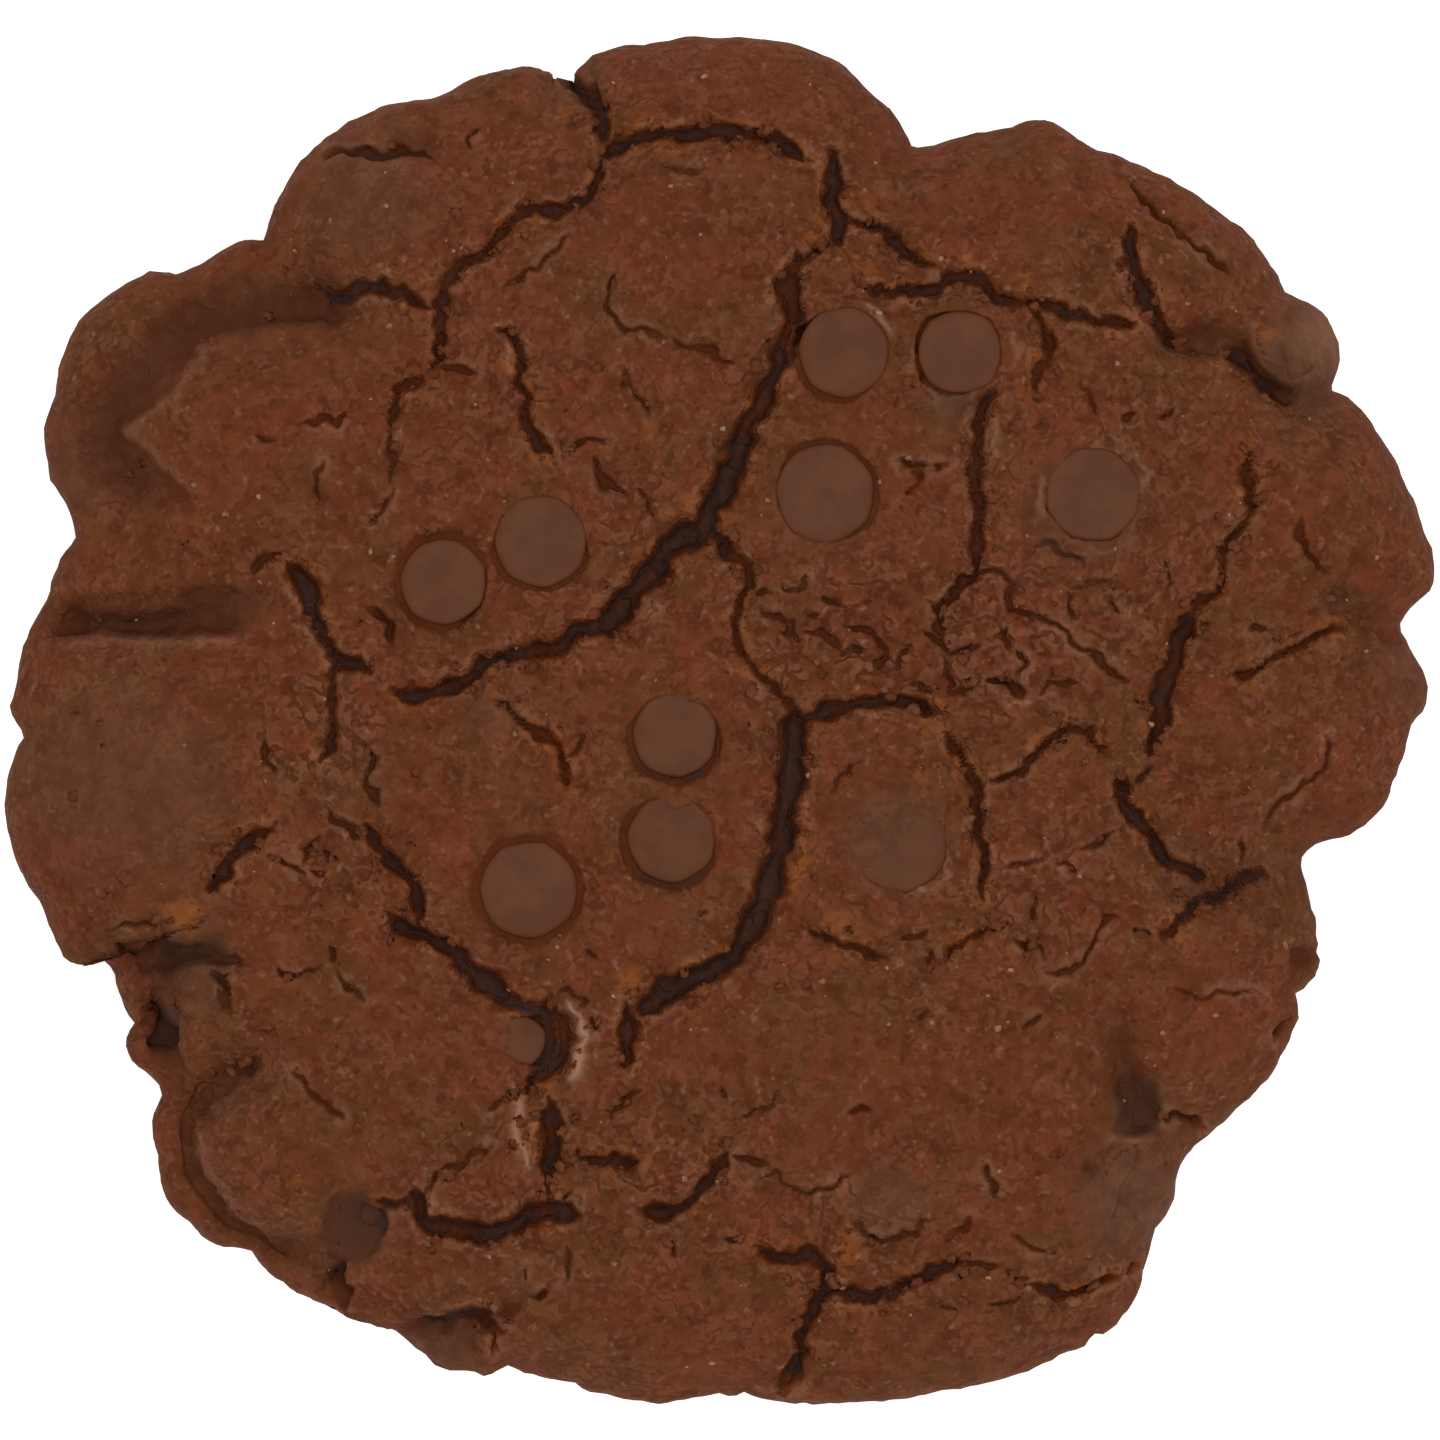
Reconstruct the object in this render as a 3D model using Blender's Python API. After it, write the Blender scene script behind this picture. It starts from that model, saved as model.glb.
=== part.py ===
"""A double chocolate cookie: one baked dough body with cracks, and its chocolate chips.

Sizes and places are in millimetres in the cookie's own frame and become metres
when a mesh is made. X runs to the right and Y away from the reader, seen from
above. The cookie lies on its flat base at Z = 0 with the origin at the middle
of the base.
"""

import math
import random
from dataclasses import dataclass

import bmesh
import bpy
import numpy as np
from mathutils import Matrix, Vector

MM = 0.001

# Driving sizes of the dough body
HEIGHT = 15.0
BELLY_HEIGHT = 4.6
BASE_INSET = 2.4
DOME_POWER = 4.2
TOP_RINGS = 26
TOP_SHARE = 0.93
SHOULDER_SHARES = (0.965, 0.988, 1.0)
UNDERSIDE_TURNS = (0.35, 0.7, 1.0)

# Cracks: depth grows with width, and the walls lean in towards the floor
CRACK_DEPTH_BASE = 1.3
CRACK_DEPTH_PER_WIDTH = 1.8
CRACK_FLOOR_SHARE = 0.35
CRACK_STEP = 2.6
CRACK_END_WIDTH = 0.22
CRACK_TAPER = 2.2
CRACK_JITTER = 0.13
CUTTER_RISE = 2.5

# Chips: a drop with its round base up, in a socket with a thin gap all round
CHIP_SIDES = 14
CHIP_DEPTH = 3.4
CHIP_GAP = 0.3
CHIP_PROFILE = ((0.72, 0.0), (1.0, 0.14), (0.93, 0.42), (0.55, 0.82))

# Finish of the cut mesh: lengths in millimetres, angles in degrees
MERGE_DISTANCE = 0.008
FLAT_ANGLE = 3.0
SHARP_ANGLE = 40.0

# Outline seen from above, clockwise: each row is a corner and a point that the
# arc from it passes through on its way to the next row's corner
OUTLINE = (
    (-40.6, 11.4, -41.0, 13.0), (-41.9, 14.8, -42.45, 17.2), (-42.0, 20.6, -40.2, 25.2),
    (-36.6, 27.9, -35.6, 28.3), (-34.4, 28.1, -32.4, 29.1), (-30.9, 29.85, -30.1, 30.35),
    (-28.8, 30.3, -27.2, 34.0), (-23.4, 37.6, -20.2, 38.9), (-18.0, 39.2, -15.0, 40.5),
    (-12.3, 41.25, -11.4, 40.9), (-10.5, 40.0, -9.4, 40.7), (-8.0, 42.05, -1.5, 43.0),
    (3.0, 42.95, 6.4, 42.0), (8.7, 40.6, 9.6, 39.5), (10.6, 38.7, 11.5, 37.3),
    (12.1, 35.9, 15.0, 36.7), (18.4, 37.25, 20.6, 37.8), (21.6, 37.4, 22.6, 36.6),
    (24.0, 35.75, 28.3, 34.15), (32.0, 31.7, 34.2, 29.7), (35.6, 26.8, 37.6, 25.95),
    (38.6, 24.6, 39.0, 23.2), (38.3, 20.8, 40.3, 19.65), (41.6, 18.1, 43.2, 15.1),
    (44.4, 12.0, 45.0, 9.6), (44.6, 8.0, 43.7, 7.2), (42.8, 5.9, 43.6, 4.7),
    (44.4, 2.8, 44.4, 0.8), (43.65, -0.1, 42.9, -2.9), (42.0, -5.2, 40.4, -6.6),
    (37.8, -7.7, 37.1, -8.2), (36.6, -8.95, 37.2, -11.4), (37.8, -14.2, 37.6, -16.0),
    (36.2, -17.25, 36.55, -18.2), (36.1, -19.5, 35.2, -21.6), (32.4, -24.7, 31.0, -25.9),
    (29.8, -26.85, 29.1, -27.9), (28.75, -28.7, 28.5, -30.3), (27.5, -31.9, 27.25, -33.2),
    (26.7, -34.6, 26.2, -36.3), (25.3, -37.6, 24.7, -38.25), (24.1, -38.65, 23.6, -38.5),
    (23.1, -39.1, 18.5, -41.15), (12.5, -42.6, 7.1, -43.1), (3.0, -42.75, 2.2, -42.6),
    (1.5, -42.3, 0.8, -42.6), (0.1, -42.4, -3.3, -42.95), (-7.5, -42.3, -8.6, -41.95),
    (-9.0, -41.65, -11.2, -41.4), (-13.4, -40.55, -14.2, -40.95), (-15.5, -41.05, -16.4, -41.2),
    (-17.1, -41.2, -19.4, -40.1), (-21.4, -38.4, -23.0, -37.75), (-24.2, -36.9, -26.0, -36.35),
    (-27.3, -35.45, -28.6, -34.8), (-29.8, -33.75, -31.6, -33.2), (-33.2, -31.8, -34.7, -30.3),
    (-35.4, -27.6, -35.75, -25.6), (-35.4, -23.4, -35.9, -22.6), (-36.6, -22.0, -37.45, -20.3),
    (-36.85, -19.05, -37.7, -17.7), (-38.15, -16.2, -38.4, -15.5), (-39.2, -15.1, -40.3, -15.45),
    (-41.3, -14.9, -42.0, -13.4), (-42.3, -12.7, -42.9, -11.3), (-43.4, -10.7, -44.9, -6.8),
    (-45.0, -4.6, -44.7, -2.8), (-43.8, -0.9, -44.5, 0.5), (-44.3, 2.2, -43.6, 5.4),
    (-42.3, 7.9, -41.9, 9.6),
)


@dataclass(frozen=True)
class Groove:
    """A crack or a soft valley: its width, and the points that its middle passes."""

    name: str
    width: float
    route: tuple
    depth: float = 0.0


@dataclass(frozen=True)
class Mound:
    """A plate of crust that stands a little proud: place, reach and rise."""

    x: float
    y: float
    reach: float
    rise: float


@dataclass(frozen=True)
class Pit:
    """A rounded hollow: place, half sizes along and across, depth and heading."""

    name: str
    x: float
    y: float
    along: float
    across: float
    depth: float
    heading: float = 0.0


@dataclass(frozen=True)
class Chip:
    """A chocolate chip: place, radius, lean away from upright, its heading, and sink."""

    x: float
    y: float
    radius: float
    lean: float = 3.0
    heading: float = 0.0
    sink: float = 0.0


CRACKS = (
    Groove("top_groove", 1.3, ((-10.9, 40.6), (-9.2, 39.9), (-8.0, 38.5), (-7.2, 36.4))),
    Groove("top", 1.1, ((-7.5, 35.6), (-5, 36.3), (-3, 36.6), (0, 36.6), (3, 36.4), (5.5, 35.4))),
    Groove("top_left", 0.8, ((-7.5, 35.2), (-8, 33), (-10, 32), (-12.3, 31.8), (-14.5, 29.8),
                             (-16.5, 28.6), (-17.5, 26.5), (-17.4, 24.3), (-18, 21.7))),
    Groove("shoulder", 1.0, ((-25, 27), (-23.5, 26.5), (-22, 27.3), (-20, 27), (-18, 25.8))),
    Groove("inner_left", 0.8, ((-13.9, 24.8), (-12.5, 23.5), (-12.8, 21.5), (-12, 20),
                               (-12.2, 18.5), (-10.5, 16.5))),
    Groove("hook", 0.6, ((-20.2, 18.3), (-20.2, 20.4), (-18.4, 21))),
    Groove("main_top", 1.4, ((6.9, 35.8), (7, 34), (7, 32.5), (7.5, 31), (7.1, 29.5))),
    Groove("main_neck", 0.6, ((7.3, 30.2), (6.2, 29.2), (5, 28.7), (4.4, 27.2))),
    Groove("main_upper", 1.1, ((4.5, 28.2), (4.4, 26.5), (4.7, 25), (4, 23), (3.3, 21.5),
                               (2.7, 20), (2.3, 18.4))),
    Groove("main", 1.9, ((2.7, 20), (1.6, 18), (1, 16.5), (0.3, 15), (-0.3, 13.5), (-0.9, 12.2),
                         (-2.2, 11.5), (-3.5, 10.8), (-4.2, 9.5), (-5, 8.5), (-6, 7), (-7.9, 5.7))),
    Groove("main_tail", 1.3, ((-6.6, 6.5), (-9, 5.4), (-10.5, 4.5), (-12, 4.2), (-14, 3.7),
                              (-16, 2.5), (-18, 1.8), (-20.5, 2))),
    Groove("branch", 0.8, ((-0.3, 12.2), (0.8, 10.5), (1.6, 9.5), (1.7, 8), (1, 6.3), (1.2, 4),
                           (3, 2.2), (4, 1.5), (4.4, 0))),
    Groove("ledge", 1.0, ((3.9, -0.2), (6, 0.5), (8, 0.8), (10, 1.1), (12, 1.2), (13.9, 0.5))),
    Groove("lower", 1.9, ((4.4, 0.9), (4.4, -1.2), (4.5, -3.4), (4, -5.6), (4, -7.3), (3.6, -9.4),
                          (2.7, -11.4), (1.9, -13.2), (0.4, -15), (-1.4, -16.1), (-2.9, -17.2),
                          (-4.9, -18.5))),
    Groove("lower_slit", 0.9, ((-5.9, -17.7), (-5.8, -21.5))),
    Groove("top_right", 0.8, ((7.3, 31.2), (9, 30.8), (10.5, 30.5), (11.4, 29.2), (13.9, 28.4))),
    Groove("crown", 0.8, ((8.8, 26.9), (11, 26.9), (13, 27), (14.5, 27.7), (16, 27.7),
                          (18.5, 26.2), (21.3, 26), (22.5, 25), (26, 24.8))),
    Groove("crown_fork", 0.7, ((19.5, 26.2), (20.3, 24.5), (20.4, 23), (19.8, 20.5))),
    Groove("right_inner", 0.8, ((17.8, 21.3), (16.6, 20.2), (16.3, 18.5), (16, 15.5),
                                (16.1, 12.5), (16.1, 9.4), (15, 8.5), (13.8, 6.9))),
    Groove("right_stair", 0.6, ((16, 9.5), (18.2, 8.8), (18.5, 6.7), (20, 6.2), (21.3, 5.8),
                                (22.5, 4.6), (25.6, 2.4))),
    Groove("right_lobe", 1.1, ((26, 31), (25.8, 29), (26, 27.8), (26.8, 26.5), (27.5, 25),
                               (28.4, 23.3))),
    Groove("right_lobe_low", 1.0, ((31.8, 23.3), (33, 22), (34.5, 20.8), (35.7, 19.7))),
    Groove("right_plate", 0.6, ((33.2, 17), (33.1, 15.5), (33.3, 13.2), (31.6, 10.4),
                                (31.4, 8.2), (30, 7.4), (28.9, 5.7))),
    Groove("right_plate_low", 1.3, ((29.5, 6.8), (28.2, 3.6), (27.6, 1.7), (27.4, -0.3),
                                    (26.9, -2.3))),
    Groove("right_spur", 0.7, ((39, 6.2), (38, 5.6), (35.2, 4.1), (32, 2.8))),
    Groove("right_hook", 1.1, ((24.8, -3.1), (25.4, -5.3), (26.6, -6.4), (27.4, -7.6),
                               (28.4, -8.8), (30.6, -9.6))),
    Groove("right_hook_low", 0.9, ((34.5, -9.8), (33.2, -9.7), (31, -11.1), (29.2, -12.1),
                                   (27.5, -13.6))),
    Groove("right_arc", 0.6, ((24.4, -2.3), (23.2, -0.8), (21, -0.8), (19.6, -2.2), (19, -3.2),
                              (17.1, -4))),
    Groove("right_middle", 0.8, ((14, -0.7), (15.3, -2.6), (16.4, -4.6), (16.2, -7),
                                 (16.6, -8.6), (16.3, -11.4))),
    Groove("dotted", 0.6, ((5.2, -13.4), (8, -13.9), (10.6, -14.8))),
    Groove("dotted_right", 0.6, ((13.9, -14.9), (15.7, -13.4), (18.4, -12.5))),
    Groove("left_inner", 1.2, ((-27.2, 9.6), (-26.2, 8.8), (-25.6, 7.5), (-24.8, 5.5),
                               (-24.1, 3.8), (-21.9, 3.2))),
    Groove("left_inner_low", 0.8, ((-24.2, 3.6), (-24.3, 1.3), (-24.3, -0.6), (-25.1, -2.6))),
    Groove("left_diagonal", 1.0, ((-27.9, -6.3), (-29.3, -7.3), (-30.2, -8.4), (-31, -9.4),
                                  (-31.9, -10.9))),
    Groove("left_middle", 0.9, ((-22.1, -6.5), (-21, -8), (-20, -9.2), (-19.1, -10.2),
                                (-18.8, -12.6))),
    Groove("left_lower", 1.4, ((-20.5, -11.9), (-18.8, -13.5), (-17.3, -14.3), (-15.3, -15.9),
                               (-14, -16.9), (-12.8, -17.8), (-11.2, -18.2), (-10.3, -19.3),
                               (-10.4, -20.9), (-11.8, -22.1), (-12.3, -23.4))),
    Groove("left_slit", 1.0, ((-10.5, -23.6), (-10.6, -25.6), (-10.8, -28.9))),
    Groove("middle_short", 0.6, ((-13.9, 1.3), (-12.5, 0.1), (-11.2, -0.9), (-10, -2),
                                 (-9.1, -4.5))),
    Groove("lower_left", 1.2, ((-19.1, -29.4), (-18.5, -31.6), (-15.3, -32), (-13.1, -31.5),
                               (-11.2, -30.6), (-8.8, -31.4))),
    Groove("lower_short", 0.8, ((-8.7, -27.9), (-7, -27.5), (-4.7, -27.6))),
    Groove("lower_arc", 0.9, ((-5.3, -30.6), (-3.4, -30.8), (-2.2, -30.1), (-1.2, -29.3),
                              (-0.2, -28), (0.8, -27))),
    Groove("bottom", 1.2, ((2.1, -32.8), (3.8, -33.6), (5.6, -33.2), (6.7, -34.3), (6.7, -35.6),
                           (6.1, -36.8), (5.3, -38.3), (5.2, -40), (4.1, -42.2))),
    Groove("bottom_right", 1.0, ((6.7, -35.4), (9, -36), (10.4, -35.7), (12.3, -35), (15.3, -33.7))),
    Groove("bottom_end", 0.7, ((19.4, -35.2), (21.8, -36.1), (23.2, -35.7), (25.2, -34.7))),
    Groove("side_pocket", 1.2, ((-21.3, -38.3), (-18, -38), (-15.5, -37.2), (-13.6, -38.4))),
)

VALLEYS = (
    Groove("shoulder", 2.6, ((-27, 26), (-30, 26), (-33, 24.5), (-35, 22), (-37.5, 19),
                             (-38, 17), (-37, 15.5)), 1.1),
    Groove("left_shelf", 2.4, ((-42.5, 6), (-37, 5.9), (-33, 6.6), (-29.6, 7.4)), 1.5),
    Groove("lobe_top", 1.4, ((-24.5, 36), (-22, 35.6), (-20, 35.9), (-18, 35.7)), 0.9),
    Groove("right_lobe", 2.0, ((28.3, 23.5), (30, 24.1), (32, 23.5)), 1.3),
    Groove("right_notch", 1.8, ((38.6, 7.4), (40.2, 6.5), (43, 5.6)), 1.4),
    Groove("right_waist", 3.2, ((29.5, -10.3), (33, -10.6), (37, -9.2)), 1.3),
    Groove("left_hollow", 2.2, ((-37.5, -14.7), (-34, -14.8), (-31.6, -14.5)), 1.5),
    Groove("left_hollow_low", 1.9, ((-34.2, -15.4), (-34.8, -17.5), (-35.3, -20.8)), 1.7),
    Groove("lower_left", 2.0, ((-28.7, -21.4), (-31.8, -23.9), (-33, -25.5), (-32.8, -28.1),
                               (-31, -30.9), (-29.1, -32.6), (-26.4, -33)), 1.3),
    Groove("chip_gully", 1.8, ((-24.3, -33.3), (-24.2, -37)), 1.7),
    Groove("right_gully", 2.6, ((24.7, -19.9), (25.1, -22.7), (26.2, -24.3)), 1.3),
)

MOUNDS = (
    Mound(-37.0, -4.0, 7.5, 0.9), Mound(-31.0, 17.0, 6.5, 0.9), Mound(-22.0, 31.5, 5.5, 0.8),
    Mound(-3.0, 40.0, 5.5, 0.8), Mound(-4.0, 27.0, 7.0, 0.7), Mound(16.0, 33.0, 6.0, 0.9),
    Mound(38.5, 14.0, 5.5, 0.9), Mound(22.5, 18.0, 5.5, 0.6), Mound(8.0, 7.5, 5.0, 0.5),
    Mound(34.0, -1.5, 5.5, 0.9), Mound(10.5, -6.5, 4.5, 0.6), Mound(-14.0, -7.0, 6.0, 0.7),
    Mound(-16.0, 12.0, 6.0, 0.5), Mound(29.5, -18.0, 5.5, 0.8), Mound(8.0, -22.0, 7.0, 0.7),
    Mound(-21.0, -22.0, 6.0, 0.8), Mound(-29.0, -27.0, 3.6, 0.7), Mound(-4.0, -36.0, 6.5, 0.8),
    Mound(14.5, -39.0, 5.0, 0.8), Mound(10.5, -30.0, 2.4, 0.6), Mound(30.5, 30.0, 4.0, 0.7),
)

PITS = (
    Pit("right_hollow", 26.3, -24.2, 1.7, 1.5, 1.7),
    Pit("left_hollow", -35.3, -19.2, 1.6, 0.9, 2.0, 80.0),
    Pit("chip_hollow", -22.7, -31.7, 2.7, 2.2, 1.5, 80.0),
    Pit("bottom_hollow", -3.6, -17.2, 1.5, 1.0, 2.4, 60.0),
)

CHIPS = (
    Chip(7.8, 23.1, 2.95, 4.0, 200.0), Chip(15.1, 23.1, 2.8, 3.0, 90.0),
    Chip(6.6, 14.2, 3.2, 3.0, 30.0), Chip(23.4, 14.2, 3.1, 5.0, 20.0),
    Chip(-11.2, 11.3, 3.0, 3.0, 140.0), Chip(-17.3, 8.7, 2.75, 6.0, 120.0),
    Chip(-2.8, -0.9, 2.75, 5.0, 270.0, 0.1), Chip(-3.0, -7.4, 2.85, 5.0, 250.0, 0.1),
    Chip(-11.95, -10.6, 3.1, 2.0, 230.0), Chip(11.3, -7.8, 3.1, 4.0, 300.0, 0.15),
    Chip(35.6, 23.6, 2.4, 38.0, 34.0, 0.2), Chip(26.0, -28.9, 2.8, 44.0, -30.0, 0.3),
    Chip(-32.7, -17.2, 1.7, 16.0, 150.0, 0.5), Chip(-22.6, -31.8, 1.9, 14.0, 240.0, 1.2),
    Chip(-13.4, -20.0, 1.7, 12.0, 20.0, 0.5),
)


def arc_points(start, via, end, steps):
    """Points along the circular arc from start through via to end, without end."""
    ax, ay = start
    bx, by = via
    cx, cy = end
    turn = 2.0 * (ax * (by - cy) + bx * (cy - ay) + cx * (ay - by))
    if abs(turn) < 1e-6:
        return [(ax + (cx - ax) * i / steps, ay + (cy - ay) * i / steps) for i in range(steps)]
    aa, bb, cc = ax * ax + ay * ay, bx * bx + by * by, cx * cx + cy * cy
    ox = (aa * (by - cy) + bb * (cy - ay) + cc * (ay - by)) / turn
    oy = (aa * (cx - bx) + bb * (ax - cx) + cc * (bx - ax)) / turn
    radius = math.hypot(ax - ox, ay - oy)
    first = math.atan2(ay - oy, ax - ox)
    sweep = (math.atan2(cy - oy, cx - ox) - first) % math.tau
    middle = (math.atan2(by - oy, bx - ox) - first) % math.tau
    if middle > sweep:
        sweep -= math.tau
    angles = (first + sweep * i / steps for i in range(steps))
    return [(ox + radius * math.cos(a), oy + radius * math.sin(a)) for a in angles]


class Outline:
    """The lobed outline as a reach from the middle for each heading."""

    STEPS_PER_ARC = 10

    def __init__(self, rows):
        points = []
        for index, (x, y, via_x, via_y) in enumerate(rows):
            end = rows[(index + 1) % len(rows)][:2]
            points += arc_points((x, y), (via_x, via_y), end, self.STEPS_PER_ARC)
        points.reverse()
        turns = np.unwrap([math.atan2(y, x) for x, y in points])
        steps = np.hypot(*np.diff(np.array(points + points[:1]), axis=0).T)
        self.length = float(steps.sum())
        self.turns = np.append(turns, turns[0] + math.tau)
        self.reaches = np.array([math.hypot(x, y) for x, y in points + points[:1]])
        self.shares = np.append(0.0, np.cumsum(steps)) / self.length

    def heading(self, share):
        """The heading reached after a share of the way round, counter-clockwise."""
        return np.interp(np.mod(share, 1.0), self.shares, self.turns)

    def reach(self, heading):
        """The outline's distance from the middle at a heading."""
        wrapped = self.turns[0] + np.mod(heading - self.turns[0], math.tau)
        return np.interp(wrapped, self.turns, self.reaches)


OUTLINE_CURVE = Outline(OUTLINE)


def smooth_route(route, step):
    """Points about a step apart on a smooth curve through the route's points."""
    points = np.array(route, dtype=float)
    before = 2 * points[0] - points[1]
    after = 2 * points[-1] - points[-2]
    padded = np.vstack((before, points, after))
    result = []
    for i in range(1, len(padded) - 2):
        p0, p1, p2, p3 = padded[i - 1:i + 3]
        count = max(1, round(float(np.hypot(*(p2 - p1))) / step))
        for t in np.arange(count) / count:
            result.append(0.5 * (2 * p1 + (p2 - p0) * t + (2 * p0 - 5 * p1 + 4 * p2 - p3) * t ** 2
                                 + (3 * p1 - p0 - 3 * p2 + p3) * t ** 3))
    result.append(points[-1])
    return np.array(result)


def distance_to_route(x, y, route):
    """Distance of points in plan from the line through a route's points."""
    nearest = np.full(np.shape(x), np.inf)
    for (ax, ay), (bx, by) in zip(route[:-1], route[1:]):
        dx, dy = bx - ax, by - ay
        along = np.clip(((x - ax) * dx + (y - ay) * dy) / (dx * dx + dy * dy), 0.0, 1.0)
        nearest = np.minimum(nearest, np.hypot(x - ax - along * dx, y - ay - along * dy))
    return nearest


def dome(share):
    """Height of the plain dome at a share of the way from the middle to the outline."""
    drop = np.sqrt(np.clip(1.0 - np.clip(share, 0.0, 1.0) ** DOME_POWER, 0.0, 1.0))
    return BELLY_HEIGHT + (HEIGHT - BELLY_HEIGHT) * drop


def top_height(x, y):
    """Height of the crust at places in plan: the dome, its plates and soft valleys."""
    x, y = np.asarray(x, dtype=float), np.asarray(y, dtype=float)
    share = np.hypot(x, y) / OUTLINE_CURVE.reach(np.arctan2(y, x))
    height = dome(share)
    relief = np.full(np.shape(x), -0.5)
    for mound in MOUNDS:
        away = np.hypot(x - mound.x, y - mound.y) / mound.reach
        relief = relief + mound.rise * np.exp(-away ** 4)
    for valley in VALLEYS:
        away = distance_to_route(x, y, valley.route) / (0.5 * valley.width)
        relief = relief - valley.depth * np.exp(-away ** 2)
    fade = np.clip((1.0 - share) / 0.06, 0.0, 1.0)
    return height + relief * fade


def new_object(name, mesh_data, material, collection):
    """Make an object from a bmesh in millimetres, with one material."""
    bmesh.ops.transform(mesh_data, matrix=Matrix.Scale(MM, 4), verts=mesh_data.verts)
    mesh = bpy.data.meshes.new(name)
    mesh_data.to_mesh(mesh)
    mesh_data.free()
    mesh.materials.append(material)
    obj = bpy.data.objects.new(name, mesh)
    collection.objects.link(obj)
    return obj


def plain_material(name, colour, roughness):
    """A Principled BSDF material of one colour."""
    material = bpy.data.materials.new(name)
    material.use_nodes = True
    shader = material.node_tree.nodes["Principled BSDF"]
    shader.inputs["Base Color"].default_value = (*colour, 1.0)
    shader.inputs["Roughness"].default_value = roughness
    shader.inputs["Metallic"].default_value = 0.0
    material.diffuse_color = (*colour, 1.0)
    return material


def hexagon_place(x, y):
    """Ring and way round, each from 0 to 1, of a point in a hexagon of radius 1."""
    turn = math.atan2(y, x) % math.tau
    sector = min(5, int(turn / (math.pi / 3)))
    off_middle = turn - (sector + 0.5) * math.pi / 3
    ring = math.hypot(x, y) * math.cos(off_middle) / math.cos(math.pi / 6)
    return ring, (sector + 0.5 + 0.5 * math.tan(off_middle) / math.tan(math.pi / 6)) / 6


def dough_body():
    """The dough without its cracks: a domed top, a bulging side and a flat base."""
    body = bmesh.new()
    bmesh.ops.create_circle(body, cap_ends=True, cap_tris=True, segments=6, radius=1.0)
    spoke = max(body.verts, key=lambda v: v.co.length)
    bmesh.ops.rotate(body, verts=body.verts,
                     matrix=Matrix.Rotation(-math.atan2(spoke.co.y, spoke.co.x), 3, "Z"))
    bmesh.ops.subdivide_edges(body, edges=body.edges, cuts=TOP_RINGS - 1, use_grid_fill=True)
    for vert in body.verts:
        ring, share = hexagon_place(vert.co.x, vert.co.y)
        heading = float(OUTLINE_CURVE.heading(share))
        away = OUTLINE_CURVE.reach(heading) * TOP_SHARE * ring
        x, y = away * math.cos(heading), away * math.sin(heading)
        vert.co = (x, y, float(top_height(x, y)))
    rim = [edge for edge in body.edges if edge.is_boundary]
    for share in SHOULDER_SHARES:
        rim = next_side_row(body, rim, lambda reach, s=share: (reach * s, None))
    for turn in UNDERSIDE_TURNS:
        angle = turn * math.pi / 2
        inset = BASE_INSET * (1.0 - math.cos(angle))
        level = BELLY_HEIGHT * (1.0 - math.sin(angle))
        rim = next_side_row(body, rim, lambda reach, i=inset, z=level: (reach - i, z))
    bmesh.ops.contextual_create(body, geom=rim)
    bmesh.ops.triangulate(body, faces=body.faces)
    bmesh.ops.recalc_face_normals(body, faces=body.faces)
    if body.calc_volume(signed=True) < 0.0:
        bmesh.ops.reverse_faces(body, faces=body.faces)
    return body


def next_side_row(body, rim, place):
    """Extrude the rim once and put each new vertex at its reach and height."""
    grown = bmesh.ops.extrude_edge_only(body, edges=rim)["geom"]
    for vert in (item for item in grown if isinstance(item, bmesh.types.BMVert)):
        heading = math.atan2(vert.co.y, vert.co.x)
        away, level = place(float(OUTLINE_CURVE.reach(heading)))
        x, y = away * math.cos(heading), away * math.sin(heading)
        vert.co = (x, y, float(top_height(x, y)) if level is None else level)
    return [item for item in grown if isinstance(item, bmesh.types.BMEdge)]


def crack_cutter(crack, draw):
    """A wedge that follows a crack: wide at the crust, narrow at its floor."""
    stations = smooth_route(crack.route, CRACK_STEP)
    headings = np.gradient(stations, axis=0)
    headings /= np.hypot(*headings.T)[:, None]
    sides = np.column_stack((-headings[:, 1], headings[:, 0]))
    run = np.append(0.0, np.cumsum(np.hypot(*np.diff(stations, axis=0).T)))
    to_end = np.minimum(run, run[-1] - run)
    body = bmesh.new()
    rings = []
    for place, side, left in zip(stations, sides, to_end):
        taper = math.sin(min(1.0, left / CRACK_TAPER) * math.pi / 2)
        width = CRACK_END_WIDTH + (crack.width - CRACK_END_WIDTH) * taper
        width *= 1.0 + draw.uniform(-CRACK_JITTER, CRACK_JITTER)
        place = place + side * width * draw.uniform(-CRACK_JITTER, CRACK_JITTER)
        crust = float(top_height(*place))
        depth = (0.5 + 0.5 * taper) * (CRACK_DEPTH_BASE + CRACK_DEPTH_PER_WIDTH * crack.width)
        lean = 0.5 * width * (1.0 - CRACK_FLOOR_SHARE) / depth
        levels = ((0.5 * width + lean * CUTTER_RISE, crust + CUTTER_RISE),
                  (0.5 * width * CRACK_FLOOR_SHARE, crust - depth))
        corners = [(half * sign, level) for half, level in levels for sign in (1, -1)]
        order = (corners[0], corners[1], corners[3], corners[2])
        verts = [body.verts.new((*(place + side * off), level)) for off, level in order]
        rings.append([body.edges.new((verts[i], verts[(i + 1) % 4])) for i in range(4)])
    for before, after in zip(rings[:-1], rings[1:]):
        bmesh.ops.bridge_loops(body, edges=before + after)
    for end in (rings[0], rings[-1]):
        bmesh.ops.contextual_create(body, geom=end)
    bmesh.ops.triangulate(body, faces=body.faces)
    bmesh.ops.recalc_face_normals(body, faces=body.faces)
    return body


def pit_cutter(pit):
    """A rounded hollow's cutter: a squashed ball sunk to the pit's depth."""
    body = bmesh.new()
    bmesh.ops.create_icosphere(body, subdivisions=2, radius=1.0)
    place = (Matrix.Translation((pit.x, pit.y, float(top_height(pit.x, pit.y))))
             @ Matrix.Rotation(math.radians(pit.heading), 4, "Z")
             @ Matrix.Diagonal((pit.along, pit.across, pit.depth, 1.0)))
    bmesh.ops.transform(body, matrix=place, verts=body.verts)
    return body


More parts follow.
